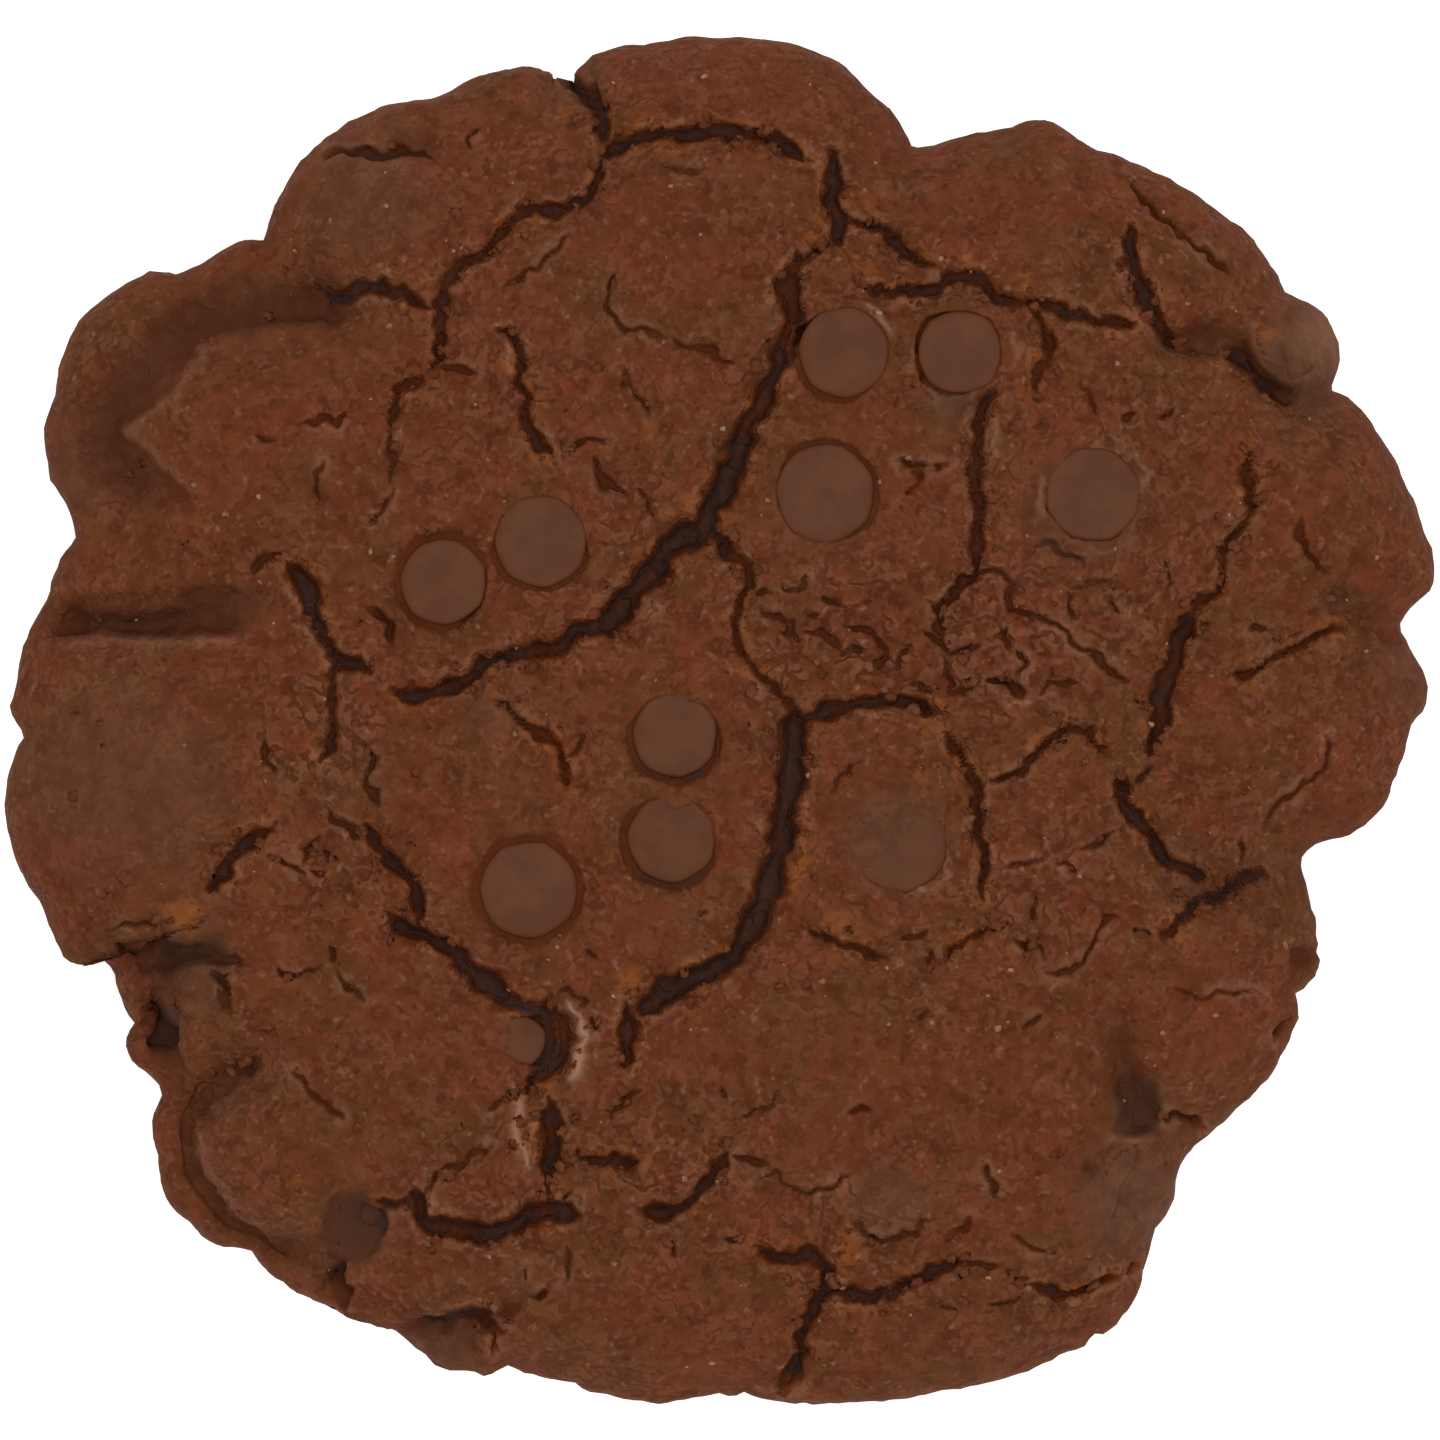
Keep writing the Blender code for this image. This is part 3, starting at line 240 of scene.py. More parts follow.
# Hair cracks, from the top of the picture to its foot: width and route
HAIR_ROUTES = (
    # Far edge and the left plates
    (0.35, ((-9.3, 30.6), (-10.3, 29.5), (-12, 28.2), (-13.5, 27.4))),
    (0.4, ((-16, 36.2), (-15, 37.4))), (0.45, ((-18, 21.7), (-16.6, 21.9), (-15.3, 21.7))),
    (0.45, ((-9.5, 16.7), (-8.6, 17.4), (-7.2, 17.5))),
    (0.45, ((-7.9, 16.5), (-7.5, 15.3), (-6.7, 14.7), (-5.8, 14))),
    (0.35, ((-5, 14.8), (-4.6, 13.5), (-4.1, 12.5))),
    (0.3, ((-20.5, 14.5), (-21, 13), (-22, 12.3))), (0.35, ((-20.3, 18.4), (-20.5, 16.6),
                                                            (-20.6, 14.8))),
    (0.35, ((-24.8, 16.4), (-25.2, 15), (-25.1, 13.4))),
    (0.4, ((-26.3, 18.5), (-25.2, 18.9), (-24.2, 18.4), (-23.5, 19.1))),
    (0.35, ((-29, 17.8), (-28.3, 17.3), (-27.6, 17.3))),
    (0.35, ((-6.2, 27.8), (-7.2, 26.4), (-6.4, 25), (-4.9, 24.6), (-3.5, 24.2))),
    (0.5, ((-24.6, 36.1), (-22.8, 35.8), (-21, 35.5), (-19.3, 35.7), (-17.9, 35.3))),
    (0.5, ((-29.4, 8.8), (-28.8, 9.6), (-27.7, 10.5))),
    (0.6, ((-22, 7), (-21, 6.5), (-20.5, 5.5), (-20.4, 4.5))),
    (0.4, ((-24.6, -5.2), (-24.2, -6.2), (-23, -6.9), (-22, -7.3))),
    (0.4, ((-28.2, -8.4), (-27, -8.7), (-26.2, -9.4))), (0.35, ((-25.8, -9), (-24.4, -9.9))),
    (0.35, ((-26.2, -8.8), (-26, -7.6), (-25, -7.1))), (0.35, ((-24.9, -7.8), (-24, -8.5))),
    (0.4, ((-28, -1), (-28.1, -2.5), (-27.6, -3.2))),
    (0.4, ((-22, -1.5), (-21.3, -2.6), (-22, -3.5), (-21.7, -4.7), (-21.2, -5.5))),
    (0.35, ((-38.3, -13.2), (-37.2, -12.8), (-35, -12.5))), (0.5, ((-32, -15.3), (-29.8, -14.9))),
    (0.5, ((-31.3, -16.8), (-30.9, -18.2))),
    (0.4, ((-26.9, -22.2), (-26.1, -22.4), (-25.5, -23.5), (-24.5, -24), (-23.5, -24.9))),
    # Middle, above the long crack's turn
    (0.5, ((11.4, 16.2), (12.2, 15.8), (13, 15.9), (14.4, 15.8))),
    (0.4, ((12.6, 15.7), (12.6, 14.9), (11.7, 14.2))), (0.35, ((22.3, 21.4), (23.1, 20.4),
                                                              (23.4, 19.3))),
    (0.45, ((25, 19), (25.9, 19.5))), (0.45, ((27.2, 19), (28.4, 19.6))),
    (0.35, ((24.1, 17.6), (25, 16.9))), (0.35, ((19.7, 11.2), (20.9, 11), (22.7, 9.7))),
    (0.4, ((2.1, 7.8), (3.3, 7.6))),
    (0.45, ((2.7, 6.8), (3.1, 6.5), (4, 6.4), (4.4, 5.9), (4.4, 5.2), (5.2, 4.5))),
    (0.45, ((5.4, 5.25), (6.3, 5.3), (7.1, 4.6), (7.6, 4.1))), (0.35, ((5.5, 6.6), (6.1, 6.5))),
    (0.4, ((6.3, 7.9), (6.8, 7.5), (7.3, 7.1))),
    (0.4, ((4, 8.5), (4.8, 8.2), (5.4, 8.8), (5.6, 9.2))),
    (0.5, ((7.7, 5.9), (8.7, 5.6), (9.7, 5.3), (10.2, 4.9), (10.4, 4.2), (10, 3.6), (9.3, 3.4))),
    (0.4, ((7.7, 3.7), (8.3, 4.3), (8.9, 4.3))),
    (0.4, ((10.5, 3.3), (11.3, 3.8), (11.8, 4.6), (11.8, 5))),
    (0.55, ((12.6, 5.9), (13.3, 5.5), (14, 5), (14.4, 4.5), (14.5, 4.1))),
    (0.55, ((13, 7.7), (13.4, 7.1), (13.7, 6.3), (13.8, 5.3))),
    (0.4, ((14.5, 4.1), (15.2, 4.3), (15.7, 4.4), (16.3, 4.8))),
    (0.4, ((14.5, 4.1), (14.5, 3.3), (14.4, 2.5), (14.6, 1.9), (15.5, 1.8), (16.5, 2.1))),
    (0.65, ((16.7, 2.2), (17.7, 2.4), (18.6, 2.2), (19, 1.4))),
    (0.45, ((18, 5.6), (18.1, 4.5), (18.3, 4.1))), (0.4, ((18.6, 4.3), (19, 3.7), (18.9, 3.1))),
    (0.4, ((19.9, 1.9), (20.4, 2.3), (21.5, 2.1), (22.3, 1.9))),
    (0.35, ((21.7, 8.3), (21.9, 7.4), (22.2, 6.5))), (0.3, ((20.9, 3.5), (20.7, 2.8))),
    (0.4, ((16, 9.5), (18.2, 8.8), (18.5, 6.7), (20, 6.2), (21.3, 5.8), (22.5, 4.6),
           (25.6, 2.4))),
    (0.4, ((16.5, 9.0), (14.6, 8.3), (13.8, 7.5), (13.5, 6.0), (14.1, 5.0))),
    (0.35, ((28.1, 10), (28.2, 9.1), (28.3, 8.1))), (0.3, ((22.2, 8.35), (23.1, 8.6), (24.6, 8.5))),
    (0.4, ((24.5, 7.2), (25.4, 6.7))), (0.35, ((12.05, 2.3), (12.9, 2.05), (13.55, 1.65))),
    (0.25, ((12.0, 24.3), (12.2, 22.6), (12.7, 20.9), (13.3, 20.1))),
    (0.6, ((16.2, 20.8), (17.2, 20.5))),
    # Middle, left of the long crack
    (0.4, ((-3.3, 24.1), (-2.4, 23.5), (-1.0, 23.2), (-0.2, 22.8), (1.15, 22.3))),
    (0.3, ((-6.3, 21.8), (-5.8, 21), (-4.6, 19.6), (-4.6, 18.8))),
    (0.35, ((-27.65, -15.1), (-27.3, -15.7), (-26.5, -16.1), (-24.7, -15.4))),
    (0.4, ((-24.4, -14.3), (-23.9, -15.2))), (0.3, ((-23.8, -15.7), (-22.9, -17), (-22.4, -17.5))),
    (0.3, ((-1.5, -12.5), (-0.9, -12))), (0.3, ((-3.5, 34.6), (-2.0, 34.2), (-0.8, 34.6))),
    (0.4, ((-9.7, -2.1), (-8.9, -1.7), (-8.4, -1))),
    (0.4, ((-10.2, -16.7), (-9.3, -16.6), (-8.7, -17.3), (-8.2, -17.9))),
    (0.4, ((-7.7, -18.4), (-7.7, -19.4))), (0.35, ((-8.5, -14.6), (-7.6, -14.8))),
    # Right of the long crack
    (0.4, ((8.6, -2.5), (7.5, -3.4), (6.6, -4.3))), (0.3, ((17.7, -9.4), (19.3, -9), (20.5, -8.6))),
    (0.3, ((21.2, -9.4), (22, -9.3), (22.4, -9.8))), (0.4, ((11.3, -13.7), (13, -13.3))),
    (0.35, ((13.1, -14), (13.2, -15))),
    (0.4, ((18.7, -13.6), (19.3, -14.1), (20.2, -14), (20.8, -14.7))),
    (0.4, ((20.8, -15.8), (21.8, -15.8), (23, -14.4), (23.4, -13.6), (24.3, -12.2),
           (25.1, -12.2))),
    (0.35, ((19.4, -12.3), (20.1, -11.6), (19.9, -10.8))), (0.35, ((12.6, -18.4), (13.5, -17.9))),
    (0.35, ((19.2, -19.5), (20, -18.6))), (0.4, ((26.9, -3), (26.5, -3.2), (26.1, -3.7))),
    (0.3, ((24.9, -6.9), (24.1, -7.8), (22.6, -8.3))), (0.3, ((25.8, -13.2), (26.7, -13.4))),
    (0.45, ((36.5, 13), (36.4, 11.5), (37.2, 10), (38, 9.2))), (0.4, ((33, 6), (34.5, 5.5))),
    (0.5, ((26, 34), (26, 33.5), (27.5, 32), (29.5, 30.2), (30.8, 29), (31.8, 28))),
    (0.35, ((38.1, -0.8), (38.1, -2.5), (37.6, -3.3), (36, -4.5), (35, -5), (34.5, -5.6),
            (34, -6.2))),
    (0.3, ((32.9, -7), (33, -8.8))), (0.25, ((28.6, -16.9), (30, -17.2), (31.5, -17), (34, -17))),
    (0.55, ((36, -18.6), (35.2, -20.1))), (0.6, ((27.9, -24.7), (29.2, -25.2), (30.4, -26))),
    # Near edge
    (0.3, ((-14.5, -24.5), (-13.5, -23.6))), (0.4, ((-6.8, -25), (-6, -23.7), (-4.8, -23.2))),
    (0.4, ((-18.7, -30), (-17.8, -28.3), (-16.5, -28), (-15.5, -27.2), (-14.5, -26.6))),
    (0.35, ((-8.9, -26.8), (-8.5, -28.2))), (0.35, ((-11, -29), (-10.9, -30))),
    (0.35, ((-10, -30), (-9, -29.5))), (0.3, ((-9.3, -33.2), (-9.7, -35.3))),
    (0.3, ((-12.2, -34), (-12.2, -35))), (0.5, ((-11.9, -36.3), (-10.4, -36))),
    (0.3, ((-2.9, -32.5), (-3.1, -33.5))), (0.4, ((0.9, -27.1), (1.7, -27.4), (2.7, -27.7))),
    (0.35, ((2.5, -28.5), (3.5, -28.3), (4.2, -29.2), (5.8, -29.5), (7, -29), (8, -28.7))),
    (0.35, ((8.3, -31), (8.8, -32), (10, -32.6), (12, -32.2), (13, -31.7), (13.6, -31.4))),
    (0.4, ((0.2, -32.4), (1.2, -32.8))), (0.4, ((15.1, -33.9), (17.5, -34.2))),
    (0.3, ((17.6, -34), (18.3, -35), (19.4, -35.3))), (0.25, ((13.6, -36.8), (15.1, -37.1))),
    (0.35, ((16.5, -36.9), (18, -36.5), (19, -36))), (0.4, ((16.8, -28), (17.3, -29.7))),
    (0.3, ((18.3, -31.9), (19.3, -32.9), (21, -33.1))),
    (0.3, ((15.9, -30.8), (15.2, -31.8), (14.2, -32.8))), (0.3, ((0, -22.8), (0.3, -23.7))),
    (0.3, ((0.8, -25.1), (2.3, -24.4), (3.5, -24), (3.7, -23.1))),
    (0.5, ((8.3, -24.4), (9.6, -24.2))), (0.5, ((25.9, -34.7), (26.5, -34.6))),
    (0.45, ((-13.7, -38.2), (-14.2, -39.8))),
)
HAIR_CRACKS = tuple(Crack(width, route, CrackKind.HAIR) for width, route in HAIR_ROUTES)

VALLEYS = (
    Crack(3.6, ((-25, 26.2), (-30, 26.2), (-33.4, 25), (-35.6, 22.5), (-38.2, 19.3), (-38.5, 17),
                (-37, 15.2)), CrackKind.VALLEY, 1.5),
    Crack(2.4, ((-42.5, 6), (-37, 5.9), (-33, 6.6), (-29.6, 7.4)), CrackKind.VALLEY, 1.5),
    Crack(1.4, ((-24.5, 36), (-22, 35.6), (-20, 35.9), (-18, 35.7)), CrackKind.VALLEY, 0.9),
    Crack(2.0, ((28.3, 23.5), (30, 24.1), (32, 23.5)), CrackKind.VALLEY, 1.3),
    Crack(1.8, ((38.6, 7.4), (40.2, 6.5), (43, 5.6)), CrackKind.VALLEY, 1.4),
    Crack(3.2, ((29.5, -10.3), (33, -10.6), (37, -9.2)), CrackKind.VALLEY, 1.3),
    Crack(2.2, ((-37.5, -14.7), (-34, -14.8), (-31.6, -14.5)), CrackKind.VALLEY, 1.5),
    Crack(1.9, ((-34.2, -15.4), (-34.8, -17.5), (-35.3, -20.8)), CrackKind.VALLEY, 1.7),
    Crack(2.0, ((-28.7, -21.4), (-31.8, -23.9), (-33, -25.5), (-32.8, -28.1), (-31, -30.9),
                (-29.1, -32.6), (-26.4, -33)), CrackKind.VALLEY, 1.3),
    Crack(1.8, ((-24.3, -33.3), (-24.2, -37)), CrackKind.VALLEY, 1.7),
    Crack(2.4, ((24.6, -18.6), (24.9, -20.8), (25.6, -22.9), (26.3, -24.3)), CrackKind.VALLEY, 1.0),
    Crack(4.2, ((25.6, -27.6), (26.3, -29.6), (26.6, -32.2)), CrackKind.VALLEY, 0.5),
    Crack(2.4, ((35.4, 20.6), (36.4, 22.4)), CrackKind.VALLEY, 0.7),
)

MOUNDS = (
    Mound(-37.0, -4.0, 7.5, 0.9), Mound(-31.0, 17.0, 6.5, 0.9), Mound(-22.0, 31.5, 5.5, 0.8),
    Mound(-3.0, 40.0, 5.5, 0.8), Mound(-4.0, 27.0, 7.0, 0.7), Mound(16.0, 33.0, 6.0, 0.9),
    Mound(38.5, 14.0, 5.5, 0.9), Mound(22.5, 18.0, 5.5, 0.6), Mound(8.0, 7.5, 5.0, 0.5),
    Mound(34.0, -1.5, 5.5, 0.9), Mound(10.5, -6.5, 4.5, 0.6), Mound(-14.0, -7.0, 6.0, 0.7),
    Mound(-16.0, 12.0, 6.0, 0.5), Mound(29.5, -18.0, 5.5, 0.8), Mound(8.0, -22.0, 7.0, 0.7),
    Mound(-21.0, -22.0, 6.0, 0.8), Mound(-29.0, -27.0, 3.6, 0.7), Mound(-4.0, -36.0, 6.5, 0.8),
    Mound(14.5, -39.0, 5.0, 0.8), Mound(10.5, -30.0, 2.4, 0.6), Mound(30.5, 30.0, 4.0, 0.7),
    Mound(2.3, 1.9, 0.7, 0.4), Mound(-36.5, -16.5, 1.5, 0.6),
)

PITS = (
    Pit(26.3, -23.9, 2.4, 1.5, 0.55, 75.0), Pit(-35.3, -19.2, 1.7, 1.0, 1.4, 80.0),
    Pit(-23.0, -31.8, 2.7, 2.2, 1.2, 80.0), Pit(-3.6, -17.2, 1.3, 0.8, 1.6, 60.0),
    Pit(20.2, 18.5, 0.35, 0.3, 0.5), Pit(22.9, -28.0, 0.5, 0.4, 0.6), Pit(-24.3, 35.9, 0.5, 0.3, 0.6),
    Pit(36.9, -14.9, 1.0, 0.8, 1.1), Pit(-13.2, -37.0, 0.8, 0.6, 0.7), Pit(16.5, 20.3, 0.6, 0.5, 0.8),
)


@dataclass(frozen=True)
class Ledge:
    """A plate's edge: the crust drops on the route's left and rises again over a reach."""

    depth: float
    reach: float
    route: Route


LEDGES = (
    Ledge(1.5, 3.0, ((-32.5, 14.2), (-34.2, 15.0), (-36.0, 16.8), (-37.3, 18.3), (-34.5, 20.5),
                     (-33.0, 22.3), (-31.8, 24.1), (-29.4, 24.4), (-27.3, 24.7),
                     (-22.8, 24.7))),
    Ledge(1.0, 2.0, ((-29.6, 8.0), (-31.8, 8.4), (-33.3, 7.7), (-34.8, 8.3), (-37.5, 8.0),
                     (-41.0, 8.3))),
    Ledge(1.7, 1.6, ((-42.5, 5.3), (-40.5, 5.6), (-36.0, 5.5), (-32.0, 5.6), (-29.5, 5.7))),
    Ledge(1.1, 1.6, ((-26.0, -33.0), (-29.0, -32.3), (-31.0, -30.3), (-32.8, -27.4),
                     (-32.8, -24.9), (-31.2, -22.7), (-29.2, -21.6))),
    Ledge(0.9, 1.8, ((24.4, -19.4), (24.6, -21.5), (24.9, -23.5), (25.0, -25.8))),
    Ledge(1.0, 1.6, ((24.9, -25.8), (26.4, -26.0), (27.9, -25.6))),
    Ledge(1.9, 1.9, ((31.5, 23.4), (33.0, 22.0), (34.5, 20.8), (35.9, 19.4))),
    Ledge(1.4, 1.4, ((28.4, 22.9), (30.0, 22.9), (31.6, 23.2))),
    Ledge(1.3, 1.6, ((-30.5, -14.2), (-33.0, -13.9), (-36.0, -13.8), (-38.0, -14.2))),
    Ledge(1.0, 1.6, ((-33.2, -25.0), (-34.0, -21.5), (-33.9, -18.5), (-33.2, -16.6))),
    Ledge(1.9, 2.3, ((-13.4, -38.2), (-14.2, -37.2), (-15.8, -36.8), (-16.8, -37.6), (-18.0, -38.0),
                     (-21.3, -38.2))),
)


@dataclass(frozen=True)
class Smear:
    """A smooth greyish patch of the crust: place, reach and strength."""

    x: float
    y: float
    reach: float
    strength: float = 0.7


SMEARS = (
    Smear(-37.0, -4.0, 6.5, 0.55), Smear(14.4, 20.2, 1.6, 0.9), Smear(22.6, 13.2, 3.9, 0.55),
    Smear(11.0, -7.6, 3.3, 0.8), Smear(-21.5, 33.0, 4.0, 0.5), Smear(-14.0, 0.5, 1.6, 0.7),
    Smear(26.5, -24.5, 2.2, 0.9), Smear(26.0, -30.0, 4.0, 0.85), Smear(-33.4, -14.9, 2.6, 0.8),
    Smear(36.8, 22.6, 3.6, 0.8), Smear(10.6, -30.0, 2.3, 0.6), Smear(-40.5, 16.0, 3.0, 0.4),
    Smear(6.0, 13.2, 3.9, 0.3), Smear(-22.7, -31.7, 2.6, 0.7), Smear(-9.0, 40.0, 2.5, 0.4),
    Smear(43.5, 3.0, 2.6, 0.5), Smear(-33.0, -12.5, 2.2, 0.5), Smear(-17.5, -39.0, 2.6, 0.7),
)


# Crumbly orange patches, most of them beside cracks
WARM_PATCHES = (
    Smear(-33.7, -12.3, 1.7, 1.0), Smear(17.3, 11.5, 1.3, 0.9), Smear(9.3, 29.0, 1.6, 0.8),
    Smear(9.2, 32.4, 1.1, 1.0), Smear(-5.6, -16.8, 1.4, 0.9), Smear(-12.7, 22.2, 1.0, 1.0),
    Smear(6.2, 30.4, 1.0, 1.0), Smear(18.7, 27.2, 1.0, 0.9), Smear(28.2, 28.2, 1.2, 0.7),
    Smear(-9.6, 37.6, 1.9, 0.8), Smear(-4.8, 37.5, 1.1, 0.8), Smear(-17.8, 27.0, 1.2, 0.9),
    Smear(5.0, -9.0, 1.6, 0.8), Smear(7.4, -13.6, 1.7, 0.8), Smear(3.6, 0.2, 1.0, 0.8),
    Smear(7.8, -33.0, 1.6, 0.9), Smear(3.0, -26.4, 0.8, 0.9), Smear(-11.8, -25.8, 1.4, 1.0),
    Smear(36.5, -22.2, 1.5, 0.8), Smear(-26.5, -29.0, 0.9, 0.9), Smear(21.0, 22.0, 1.4, 0.7),
    Smear(-22.0, 4.7, 1.5, 0.8), Smear(-4.2, 17.4, 1.3, 0.5), Smear(33.6, 16.0, 1.3, 0.7),
    Smear(-31.8, 12.0, 1.0, 0.6), Smear(13.0, -2.6, 1.5, 0.6), Smear(26.2, -34.0, 1.6, 0.7),
    Smear(-2.0, -17.6, 0.9, 0.9), Smear(-25.2, -9.0, 1.4, 0.6), Smear(34.4, 24.8, 1.0, 0.8),
)


# Broad pale patches, drawn with the same painted highlight as the pale rims
PALE_PATCHES = (
    Smear(37.9, 24.4, 1.7, 0.3), Smear(39.6, 22.4, 1.0, 0.2), Smear(-31.2, -15.4, 1.2, 0.2),
    Smear(2.3, 1.9, 0.6, 0.45), Smear(-4.1, 7.1, 0.8, 0.3),
)

# Zones where the crust is finely wrinkled
CRINKLED = (
    Smear(8.0, 5.5, 6.0, 1.0), Smear(18.0, 5.0, 6.0, 1.0), Smear(26.0, 7.0, 4.5, 0.8),
    Smear(-25.0, -1.0, 5.0, 0.9), Smear(-23.0, -10.0, 4.5, 0.9), Smear(-3.0, -29.0, 7.0, 0.8),
    Smear(8.0, -33.0, 6.0, 0.8), Smear(20.0, -10.0, 7.0, 0.7), Smear(26.0, 19.0, 5.0, 0.7),
    Smear(-13.0, 20.0, 5.0, 0.7), Smear(-5.0, 13.0, 4.0, 0.7), Smear(12.0, -15.5, 4.5, 0.6),
    Smear(30.0, -8.0, 4.5, 0.7), Smear(10.5, 29.0, 4.0, 0.6), Smear(-6.0, 37.5, 3.5, 0.6),
    Smear(-16.0, -28.0, 5.0, 0.6), Smear(36.0, 2.0, 4.5, 0.5),
)


# Pale grains that stand out in the picture
SUGAR_SPOTS = (
    (-1.2, 40.2), (9.1, 33.3), (-13.2, 22.7), (29.5, 26.0), (29.1, 18.9), (31.9, 20.5),
    (26.9, -21.0), (6.5, -40.6), (30.6, -7.2), (26.1, -23.9), (-20.5, 24.6), (-17.5, 23.5),
    (-27.2, 29.8), (-24.5, 31.6), (-21.0, 34.2), (-16.2, 29.6),
)


@dataclass(frozen=True)
class Streak:
    """A narrow raised band with one look: half width, strength, rise and route."""

    look: Look
    width: float
    strength: float
    rise: float
    route: Route


# Streaks with the rim look are painted highlights along ridges and plate edges; those with the lip
# look are orange crumb
STREAKS = (
    Streak(Look.HIGHLIGHT_RIM, 0.32, 1.0, 0.25, ((-12.9, -22.6), (-12.5, -24.7), (-12.5, -26.7),
                                       (-11.9, -28.8))),
    Streak(Look.HIGHLIGHT_RIM, 0.34, 1.25, 0.30, ((-9.9, -17.1), (-8.8, -18.5), (-8.5, -20.2),
                                        (-8.7, -21.6), (-9.8, -22.9))),
    Streak(Look.HIGHLIGHT_RIM, 0.22, 0.7, 0.05, ((8.6, 26.1), (10.0, 25.3), (10.8, 24.1))),
    Streak(Look.HIGHLIGHT_RIM, 0.18, 0.3, 0.08, ((-32.6, -25.2), (-32.1, -28.0), (-31.3, -29.5),
                                       (-30.0, -31.2), (-29.0, -32.2))),
    Streak(Look.HIGHLIGHT_RIM, 0.22, 0.25, 0.05, ((-32.3, 14.4), (-34.0, 15.2), (-35.8, 16.9), (-37.0, 18.2),
                                       (-34.4, 20.2), (-32.9, 22.0), (-31.6, 23.8))),
    Streak(Look.HIGHLIGHT_RIM, 0.18, 0.4, 0.10, ((20.4, 15.7), (20.1, 14.2), (20.4, 12.6))),
    Streak(Look.HIGHLIGHT_RIM, 0.20, 0.3, 0.10, ((19.9, 11.3), (21.5, 10.7), (23.5, 10.4), (25.2, 10.8),
                                       (26.3, 11.8))),
    Streak(Look.HIGHLIGHT_RIM, 0.15, 0.5, 0.05, ((25.4, 16.8), (26.4, 15.4), (26.7, 13.6))),
    Streak(Look.HIGHLIGHT_RIM, 0.22, 0.4, 0.12, ((11.9, -11.0), (13.2, -10.5), (14.2, -9.5), (14.6, -8.1))),
    Streak(Look.HIGHLIGHT_RIM, 0.22, 0.35, 0.12, ((18.3, 24.8), (18.7, 23.3), (18.6, 21.8))),
    Streak(Look.HIGHLIGHT_RIM, 0.18, 0.25, 0.10, ((19.2, 24.6), (19.4, 23.2), (19.2, 21.6))),
    Streak(Look.HIGHLIGHT_RIM, 0.25, 0.4, 0.15, ((23.8, -26.5), (25.2, -26.3), (26.6, -26.3))),
    Streak(Look.HIGHLIGHT_RIM, 0.22, 0.35, 0.05, ((-41.5, 4.9), (-38.0, 5.1), (-34.0, 5.1), (-30.0, 5.3))),
    Streak(Look.HIGHLIGHT_RIM, 0.30, 0.5, 0.10, ((-18.2, -31.4), (-18.0, -30.2), (-17.5, -29.2))),
    Streak(Look.HIGHLIGHT_RIM, 0.22, 0.5, 0.10, ((17.0, 19.6), (17.4, 18.0), (17.2, 16.4))),
    Streak(Look.LIP, 0.45, 1.3, 0.00, ((-11.85, -23.4), (-11.7, -25.4), (-11.5, -28.4))),
    Streak(Look.LIP, 0.40, 1.3, 0.00, ((16.9, 16.0), (17.0, 12.8), (16.9, 9.6))),
    Streak(Look.LIP, 0.40, 1.1, 0.00, ((12.0, 28.6), (14.5, 28.7), (16.5, 28.6), (18.6, 27.0))),
    Streak(Look.LIP, 0.45, 1.1, 0.00, ((8.3, 34.5), (8.3, 32.6), (8.9, 31.5))),
    Streak(Look.LIP, 0.35, 1.0, 0.00, ((-4.2, 12.9), (-2.6, 13.2), (-1.4, 14.4))),
    Streak(Look.LIP, 0.40, 1.1, 0.00, ((5.8, -6.0), (5.2, -9.2), (4.2, -11.6))),
)


def arc_points(start: tuple, via: tuple, end: tuple, steps: int) -> list[tuple[float, float]]:
    """Walk a circular arc.

    Args:
        start: The arc's first point.
        via: A point that it passes through.
        end: Its last point, which is left out.
        steps: How many points to give.

    Returns:
        Points from start up to, but without, end.
    """
    (ax, ay), (bx, by), (cx, cy) = start, via, end
    turn = 2.0 * (ax * (by - cy) + bx * (cy - ay) + cx * (ay - by))
    if abs(turn) < 1e-6:
        return [(ax + (cx - ax) * i / steps, ay + (cy - ay) * i / steps) for i in range(steps)]
    aa, bb, cc = ax * ax + ay * ay, bx * bx + by * by, cx * cx + cy * cy
    ox = (aa * (by - cy) + bb * (cy - ay) + cc * (ay - by)) / turn
    oy = (aa * (cx - bx) + bb * (ax - cx) + cc * (bx - ax)) / turn
    radius = math.hypot(ax - ox, ay - oy)
    first = math.atan2(ay - oy, ax - ox)
    sweep = (math.atan2(cy - oy, cx - ox) - first) % math.tau
    middle = (math.atan2(by - oy, bx - ox) - first) % math.tau
    if middle > sweep:
        sweep -= math.tau
    angles = (first + sweep * i / steps for i in range(steps))
    return [(ox + radius * math.cos(a), oy + radius * math.sin(a)) for a in angles]


def smooth_route(route: Route, step: float) -> np.ndarray:
    """Follow a smooth curve through a route's points.

    Args:
        route: Points that the curve passes.
        step: Distance between the points to give, in millimetres.

    Returns:
        The points along the curve, one row each.
    """
    points = np.array(route, dtype=float)
    padded = np.vstack((2 * points[0] - points[1], points, 2 * points[-1] - points[-2]))
    result = []
    for i in range(1, len(padded) - 2):
        p0, p1, p2, p3 = padded[i - 1:i + 3]
        count = max(1, round(float(np.hypot(*(p2 - p1))) / step))
        for t in np.arange(count) / count:
            result.append(0.5 * (2 * p1 + (p2 - p0) * t + (2 * p0 - 5 * p1 + 4 * p2 - p3) * t ** 2
                                 + (3 * p1 - p0 - 3 * p2 + p3) * t ** 3))
    result.append(points[-1])
    return np.array(result)


def smoothstep(low: float, high: float, value: np.ndarray) -> np.ndarray:
    """Rise smoothly from 0 at low to 1 at high, or fall where low is above high."""
    share = np.clip((value - low) / (high - low), 0.0, 1.0)
    return share * share * (3.0 - 2.0 * share)


